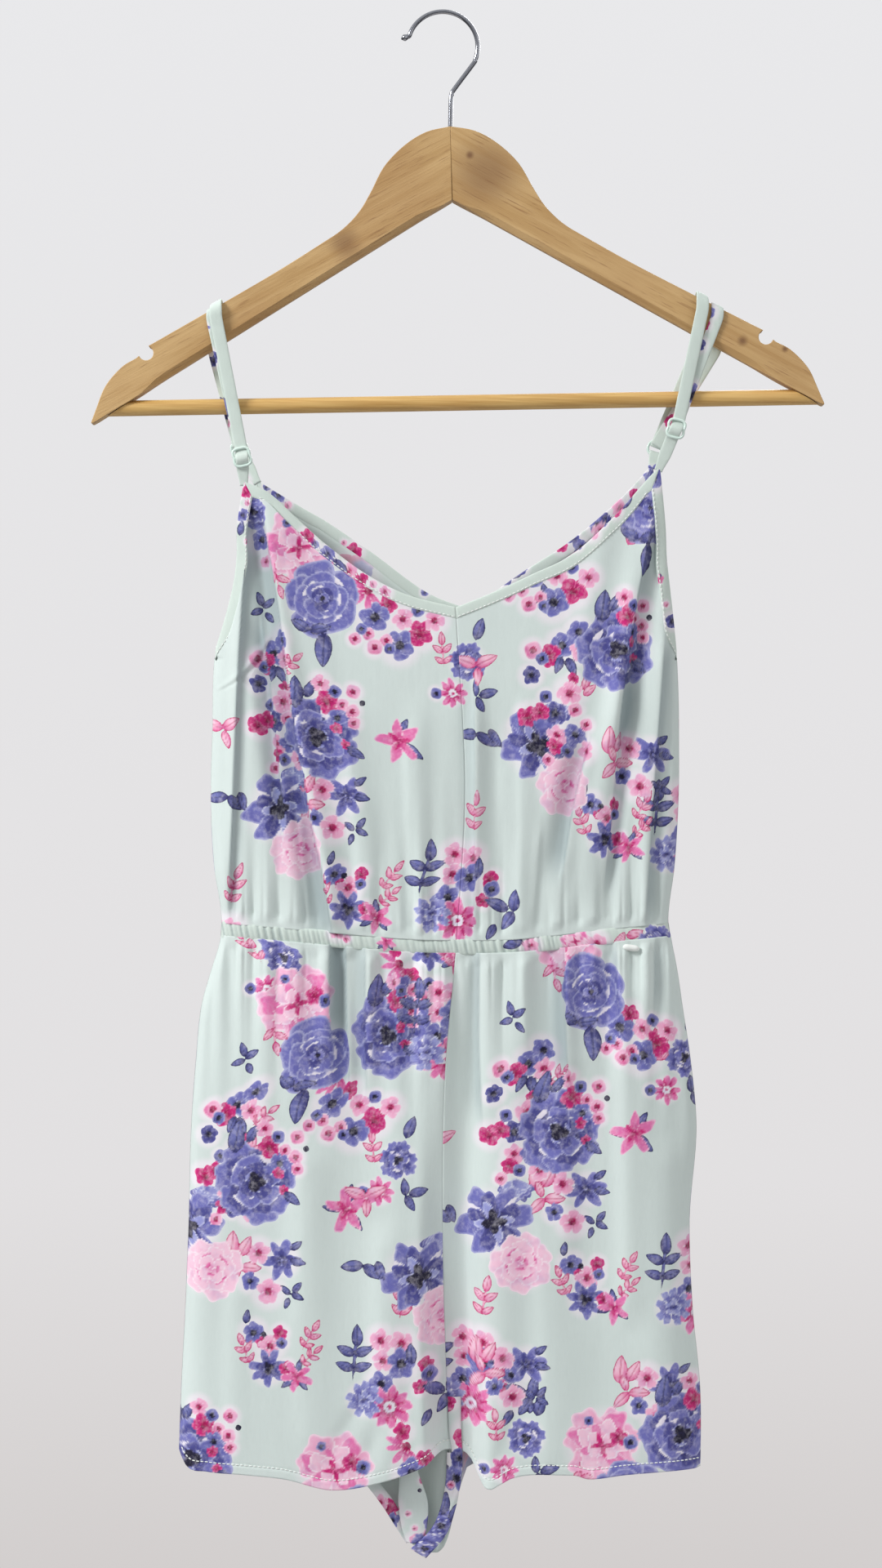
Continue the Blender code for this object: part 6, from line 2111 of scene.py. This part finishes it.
@dataclass
class Straps:
    """Doubled straps over the arms, their sliders, rings and back tabs."""

    hanger: Hanger
    width: float = 7.6
    wall: float = 1.3
    clear: float = 0.8
    lean: float = math.radians(13.5)
    slope: float = ARM_SLOPE
    main_depth: float = 7.9
    return_depth: float = 6.2
    slider_size: tuple[float, float] = (12.0, 12.6)
    plastic: float = 0.85       # radius of the plastic's section
    ring_radius: float = 4.75
    sewn_in: float = 3.2        # how far the ends run under the bindings
    # where the strap bends over the slider's bar: down from its middle, depth
    DOME: ClassVar[Rows] = ((6.4, 7.4), (4.2, 9.4), (2.6, 11.1), (0.2, 11.5), (-1.8, 9.6),
                            (-4.2, 7.9))
    # side, slider, ring, front corner, back corner, where both parts cross the arm
    PLACES: ClassVar[tuple] = (
        ("left", -1, (-121.7, 269.6), (-124.5, 262.5), (-120.8, 283.6), (-114.5, 281.5),
         144.5, 146.6),
        ("right", 1, (140.4, 252.4), (129.3, 262.5), (131.0, 274.8), (127.3, 272.0),
         149.6, 158.6),
    )

    def path(self, side: int, out: float, layer: int, start: tuple, stop: tuple) -> Array:
        """Find a strap's centre line over an arm.

        Args:
            side: -1 for the left arm, 1 for the right one.
            out: Where it crosses the arm.
            layer: How many straps lie under it.
            start: Its front end.
            stop: Its back end.

        Returns:
            Points of the line.
        """
        hanger = self.hanger
        across, crest = hanger.place(side * out, float(Curve(hanger.ARM_TOP)(out)))
        clear = self.clear + 0.6 + layer * (1.2 + self.clear)
        corner = hanger.depth / 2 - hanger.rounding
        turn, face = hanger.rounding + clear, hanger.depth / 2 + clear
        points = [start, (across, -face, crest - hanger.depth / 2)]
        for first, middle in ((180.0, -corner), (90.0, corner)):
            for k in range(7):
                angle = math.radians(first - 15.0 * k)
                points.append((across, middle + turn * math.cos(angle),
                               crest - hanger.rounding + turn * math.sin(angle)))
        under = hanger.place(side * out, hanger.under(out))[1]
        return np.array((*points, (across, face, under), stop))

    def ribbon(self, name: str, points: Array, side: int, over: bool,
               sewn: tuple[float, float], plan: PrintPlan) -> Object:
        """Sweep a flat rounded section along a strap's line.

        Args:
            name: The strap's name.
            points: Its line.
            side: -1 on the left, 1 on the right.
            over: Whether it passes over the arm.
            sewn: How much of its width is taken in at its start and stop.
            plan: Its print.

        Returns:
            The object.
        """
        lengths = travelled(points)
        along = np.linspace(0.0, lengths[-1], max(int(lengths[-1] / 1.2), 6) + 1)
        line = between(points, lengths, along)
        for _ in range(3):
            line[1:-1] = 0.25 * line[:-2] + 0.5 * line[1:-1] + 0.25 * line[2:]
        angle = np.full(len(line), -side * self.lean)
        if over:
            crest = along[int(np.argmax(line[:, 2]))]
            near = 1.0 - ease(np.abs(along - crest), 12.0, 60.0)
            angle += (self.hanger.tilt - side * (self.slope - self.lean)) * near
        across = np.stack((np.cos(angle), np.zeros_like(angle), np.sin(angle)), -1)
        ahead = unit(np.gradient(line, axis=0))
        across = unit(across - ahead * np.sum(across * ahead, 1, keepdims=True))
        out = np.cross(across, ahead)
        half = self.width / 2 * (1.0 - sewn[0] * (1.0 - ease(along, 0.0, 12.0)))
        half *= 1.0 - sewn[1] * (1.0 - ease(lengths[-1] - along, 0.0, 12.0))
        turn = angles(20)
        x, y = boxy(np.cos(turn), 0.6), boxy(np.sin(turn), 0.6) * self.wall / 2
        wrinkle = 0.12 * np.sin(along / 3.7) * np.sin(along / 9.1 + side)
        return loft(name, line[:, None] + across[:, None] * (half[:, None] * x)[..., None]
                    + out[:, None] * (y + wrinkle[:, None])[..., None], plan=plan)

    def build(self, cloth: Material, plastic: Material) -> None:
        """Make the straps and their hardware on both sides.

        Args:
            cloth: The trim's material.
            plastic: The sliders' material.
        """
        for name, side, slider, ring, front, back, main_out, return_out in self.PLACES:
            way, heel = unit(np.array(front) - slider), unit(np.array(back) - ring)
            foot, heel = np.array(front) + way * self.sewn_in, np.array(back) + heel * self.sewn_in
            bend = [(slider[0] + way[0] * down, -depth, -slider[1] - way[1] * down)
                    for down, depth in self.DOME]
            main = self.path(side, main_out, 1, bend.pop(), (ring[0], self.main_depth, -ring[1]))
            main = np.vstack(((foot[0], -6.5, -foot[1]), bend, main))
            second = self.path(side, return_out, 0,
                               (slider[0], -self.return_depth, 2.0 - slider[1]),
                               (ring[0], self.return_depth, 1.0 - ring[1]))
            tab = np.array((
                (ring[0], self.main_depth, -ring[1] - 2.4),
                ((ring[0] + back[0]) / 2, 6.6, -(ring[1] + back[1]) / 2 - 0.5),
                (heel[0], 5.35, -heel[1])))
            for title, points, over, sewn, plan in (
                    (f"strap_{name}_main", main, True, (0.35, 0.0), BARE),
                    (f"strap_{name}_return", second, True, (0.0, 0.0), TRIM_PRINT),
                    (f"strap_tab_{name}", tab, False, (0.0, 0.35), TRIM_PRINT)):
                obj = self.ribbon(title, points, side, over, sewn, plan)
                hand_in(obj, "trim_cloth", cloth, node=title)
            depth = self.main_depth + 1.7
            for title, obj in ((f"slider_{name}", self.slider(side, slider, depth)),
                               (f"ring_{name}", self.ring(ring, depth))):
                hand_in(obj, "slider_plastic", plastic, node=title)

    def slider(self, side: int, place: tuple, depth: float) -> Object:
        """Make a slider: a rounded frame with a bar across its middle.

        Args:
            side: -1 on the left, 1 on the right.
            place: Its middle, as (across, drop).
            depth: How far in front of the middle plane it lies.

        Returns:
            The object.
        """
        width, height = (size / 2 - self.plastic for size in self.slider_size)
        angle = np.linspace(0.0, ROUND, 49)
        x, z = boxy(np.cos(angle), 0.55) * width, boxy(np.sin(angle), 0.55) * height
        x = x * (1.0 - 0.08 * bell(z / 1.6))
        loop, bar = (self.turned(*flat, -side * self.lean, place, -depth)
                     for flat in ((x, z), (np.linspace(-width, width, 12), np.zeros(12))))
        return join(round_tube("slider", even_path(loop, 0.5), self.plastic, 12, closed=True),
                    round_tube("slider_bar", bar, self.plastic * 0.95, 12))

    @staticmethod
    def turned(x: Array, z: Array, lean: float, place: tuple, depth: float) -> Array:
        """Turn and move a flat figure to its place on the front or the back.

        Args:
            x: Its points, across.
            z: The same, upwards.
            lean: Angle that it is turned by.
            place: Its middle, as (across, drop).
            depth: How far behind the middle plane it lies.

        Returns:
            Its points.
        """
        cos, sin = math.cos(lean), math.sin(lean)
        return np.stack((place[0] + x * cos - z * sin, np.full(len(x), depth),
                         x * sin + z * cos - place[1]), -1)

    def ring(self, place: tuple, depth: float) -> Object:
        """Make the ring at the back, a round plastic loop.

        Args:
            place: Its middle, as (across, drop).
            depth: How far behind the middle plane it lies.

        Returns:
            The object.
        """
        angle = np.linspace(0.0, ROUND, 41)
        x, z = self.ring_radius * np.cos(angle), self.ring_radius * np.sin(angle)
        return round_tube("ring", self.turned(x, z, 0.0, place, depth), self.plastic, 12, True)


# ------------------------------------------------------------ sewing
@dataclass
class Stitching:
    """Lines of machine stitches, laid along paths by Geometry Nodes."""

    pitch: float = 2.7
    length: float = 2.0
    wide: float = 0.42
    hem: float = 5.9            # how far above the hem its stitches run

    def build(self, finish: Material) -> None:
        """Sew the edges and the hems.

        Args:
            finish: The thread's material.
        """
        edges, hems = [], []
        for _, back in FACES:
            for _, side in SIDES:
                share, width = np.linspace(0.04, 0.985, 60), np.full(60, 0.84)
                edges += [self.on_form(bound.place(share, width), back, 0.35)
                          for bound in FORM.bound[side, back]]
                share, fall = np.linspace(0.015, 0.995, 90), np.full(90, 1.0 - self.hem / 320.0)
                hems.append(self.on_form(FORM.shorts(side, back, share, fall), back, 0.12,
                                         SHORTS_CREASES[back]))
        hand_in(self.sew("edge_stitches", edges, finish), "trim_cloth")
        hand_in(self.sew("hem_stitches", hems, finish), "printed_cloth")

    @staticmethod
    def on_form(place: Array, back: bool, clear: float, folds: tuple = ()) -> Array:
        """Raise points a little off the cloth.

        Args:
            place: Points of (across, drop).
            back: Whether they are on the back.
            clear: How far off the cloth they stand.
            folds: The cloth's further folds.

        Returns:
            The points.
        """
        across, drop = place[..., 0], place[..., 1]
        return stand(across, FORM.depth(across, drop, back, folds) + clear, drop, back)

    def stitch(self) -> Object:
        """Make one stitch: a bead of thread that sinks at both ends.

        Returns:
            The object that the nodes repeat.
        """
        along = np.array((-0.5, -0.3, 0.3, 0.5))[:, None] * self.length
        thick, angle = np.array((0.3, 1.0, 1.0, 0.3))[:, None] * self.wide, angles(6)
        return loft("one_stitch", np.stack((
            thick * np.cos(angle) * 0.8, thick * np.sin(angle), np.tile(along, (1, 6))), -1))

    def tree(self, name: str, bead: Object, finish: Material) -> tuple:
        """Build the nodes that lay a bead at even steps along a line.

        Args:
            name: The tree's name.
            bead: What is laid.
            finish: Its material.

        Returns:
            The tree and its pitch input.
        """
        tree = bpy.data.node_groups.new(name, "GeometryNodeTree")
        for way in ("INPUT", "OUTPUT"):
            tree.interface.new_socket("Geometry", in_out=way, socket_type="NodeSocketGeometry")
        pitch = tree.interface.new_socket("Pitch", in_out="INPUT", socket_type="NodeSocketFloat")
        nodes = Nodes(tree)
        start = nodes.add("NodeGroupInput").outputs
        curve = nodes.add("GeometryNodeMeshToCurve", {}, {0: start["Geometry"]})
        even = nodes.add("GeometryNodeResampleCurve", {"mode": "LENGTH"}, {
            "Curve": curve.outputs[0], "Length": start["Pitch"]})
        tangent = nodes.add("GeometryNodeInputTangent")
        turn = nodes.add("FunctionNodeAlignRotationToVector", {}, {"Vector": tangent.outputs[0]})
        info = nodes.add("GeometryNodeObjectInfo", {}, {"Object": bead})
        spread = nodes.add("GeometryNodeInstanceOnPoints", {}, {
            "Points": even.outputs[0], "Instance": info.outputs["Geometry"],
            "Rotation": turn.outputs[0]})
        real = nodes.add("GeometryNodeRealizeInstances", {}, {0: spread.outputs[0]})
        dress = nodes.add("GeometryNodeSetMaterial", {}, {
            0: real.outputs[0], "Material": finish})
        nodes.add("NodeGroupOutput", {}, {0: dress.outputs[0]})
        return tree, pitch

    def sew(self, name: str, paths: list[Array], finish: Material) -> Object:
        """Lay stitches along several paths.

        Args:
            name: The piece's name.
            paths: Points of each line.
            finish: The thread's material.

        Returns:
            One plain mesh.
        """
        verts, edges = [], []
        for path in paths:
            edges += [(len(verts) + k, len(verts) + k + 1) for k in range(len(path) - 1)]
            verts += (path * MM).tolist()
        mesh = bpy.data.meshes.new(f"{name}_line")
        mesh.from_pydata(verts, edges, [])
        holder, bead = add_object(f"{name}_line", mesh), self.stitch()
        lay = holder.modifiers.new("stitches", "NODES")
        lay.node_group, pitch = self.tree(name, bead, finish)
        lay[pitch.identifier] = self.pitch * MM
        bpy.context.view_layer.update()
        mesh = bpy.data.meshes.new_from_object(
            holder.evaluated_get(bpy.context.evaluated_depsgraph_get()))
        for spent in (holder, bead):
            bpy.data.objects.remove(spent, do_unlink=True)
        mesh.name = name
        return add_object(name, mesh)


# ------------------------------------------------------------ the studio
@dataclass
class Studio:
    """Pale wall light, a soft key light, the floor and the camera."""

    camera_across: float = -0.0015
    camera_height: float = -0.467
    distance: float = 2.0
    view_height: float = 0.951
    sensor: float = 36.0
    floor_reach: float = 1500.0
    # place, size, power, tint
    LIGHTS: ClassVar[dict] = {
        "key_light": ((-2.1, -1.2, 1.0), 0.8, 66.0, (1.0, 1.0, 1.0)),
        "fill_light": ((1.9, -1.7, 0.2), 1.8, 9.0, (1.0, 0.98, 0.96)),
        "back_light": ((0.9, 2.2, 0.9), 1.2, 42.0, (1.0, 1.0, 1.0)),
    }
    # brightness, and the surround's colours from below to above
    LIT: ClassVar[tuple] = (0.80, ((0.25, (112, 110, 112)), (0.5, (194, 194, 197)),
                                   (0.9, (254, 254, 255))))
    SEEN: ClassVar[tuple] = (1.0, ((0.36, (203, 198, 196)), (0.44, (226, 224, 225)),
                                   (0.62, (233, 233, 235))))

    def build(self) -> None:
        """Make the camera, the lights, the world and the floor."""
        scene = bpy.context.scene
        scene.view_settings.view_transform = "Standard"
        data = bpy.data.cameras.new("camera")
        data.sensor_fit = "AUTO"
        data.sensor_width = self.sensor
        data.lens = self.sensor * self.distance / self.view_height
        data.clip_end = 20.0
        scene.camera = add_object("camera", data)
        scene.camera.location = (self.camera_across, -self.distance, self.camera_height)
        scene.camera.rotation_euler = (math.radians(90.0), 0.0, 0.0)
        for name, (place, size, power, tint) in self.LIGHTS.items():
            data = bpy.data.lights.new(name, "AREA")
            data.size, data.energy, data.color = size, power, tint
            lamp, aim = add_object(name, data), Vector((0.0, 0.0, self.camera_height))
            lamp.location = place
            lamp.rotation_euler = (aim - Vector(place)).to_track_quat("-Z", "Y").to_euler()
        self.world()
        self.floor()

    def world(self) -> None:
        """Make a pale surround, a little darker and warmer towards the floor."""
        world = bpy.data.worlds.new("studio")
        world.use_nodes = True
        bpy.context.scene.world = world
        nodes = Nodes(world.node_tree)
        place = nodes.add("ShaderNodeTexCoord").outputs["Generated"]
        split = nodes.add("ShaderNodeSeparateXYZ", {}, {0: place})
        height = nodes.add("ShaderNodeMapRange", {}, {0: split.outputs[2], 1: -1.0, 2: 1.0})
        shades = []
        for strength, stops in (self.LIT, self.SEEN):
            ramp = nodes.add("ShaderNodeValToRGB", {"stops": stops}, {0: height.outputs[0]})
            shades.append(nodes.add("ShaderNodeBackground", {}, {
                0: ramp.outputs[0], 1: strength}).outputs[0])
        path = nodes.add("ShaderNodeLightPath").outputs["Is Camera Ray"]
        mix = nodes.add("ShaderNodeMixShader", {}, {0: path, 1: shades[0], 2: shades[1]})
        nodes.feed(world.node_tree.nodes["World Output"].inputs[0], mix.outputs[0])

    def floor(self) -> None:
        """Lay a pale round floor well below the garment."""
        angle = angles(96)
        obj = mesh_object("studio_floor", stand(
            self.floor_reach * np.cos(angle), self.floor_reach * np.sin(angle),
            np.full(96, self.floor_reach), True), [tuple(range(96))])
        finish = bpy.data.materials.new("studio_floor")
        finish.use_nodes = True
        shader = finish.node_tree.nodes["Principled BSDF"]
        shader.inputs["Base Color"].default_value = (0.50, 0.49, 0.49, 1.0)
        shader.inputs["Roughness"].default_value = 0.9
        obj.data.materials.append(finish)


def main() -> None:
    """Build the romper, its hanger and the studio."""
    logging.basicConfig(level=logging.INFO, format="%(message)s")
    cloth = (ClothFinish("printed_cloth", (214, 226, 222)).make(),
             ClothFinish("printed_cloth_wrong_side", (206, 219, 213), 0.55).make())
    trim = ClothFinish("trim_cloth", (209, 222, 214)).make()
    Bodice().build(cloth)
    Shorts().build(cloth)
    Bindings().build(trim)
    Waistband().build(trim)
    thread = ClothFinish("pale_thread", (236, 240, 236)).make()
    Stitching().build(thread)
    CrotchFolds().build(cloth[0])
    ThreadBar().build(thread)
    hanger = Hanger()
    hanger.build({
        -1: WoodFinish("hanger_wood_left", ARM_SLOPE, ((-60.0, 140.0, 12.0),)).make(),
        1: WoodFinish("hanger_wood_right", -ARM_SLOPE, (
            (26.0, 97.0, 26.0), (180.9, 199.0, 4.2), (206.5, 204.0, 2.6),
            (15.9, 86.7, 3.0))).make(),
    }, DowelFinish().make(), SteelFinish().make())
    Straps(hanger).build(trim, PlasticFinish().make())
    Studio().build()
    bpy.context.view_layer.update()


if __name__ == "__main__":
    main()
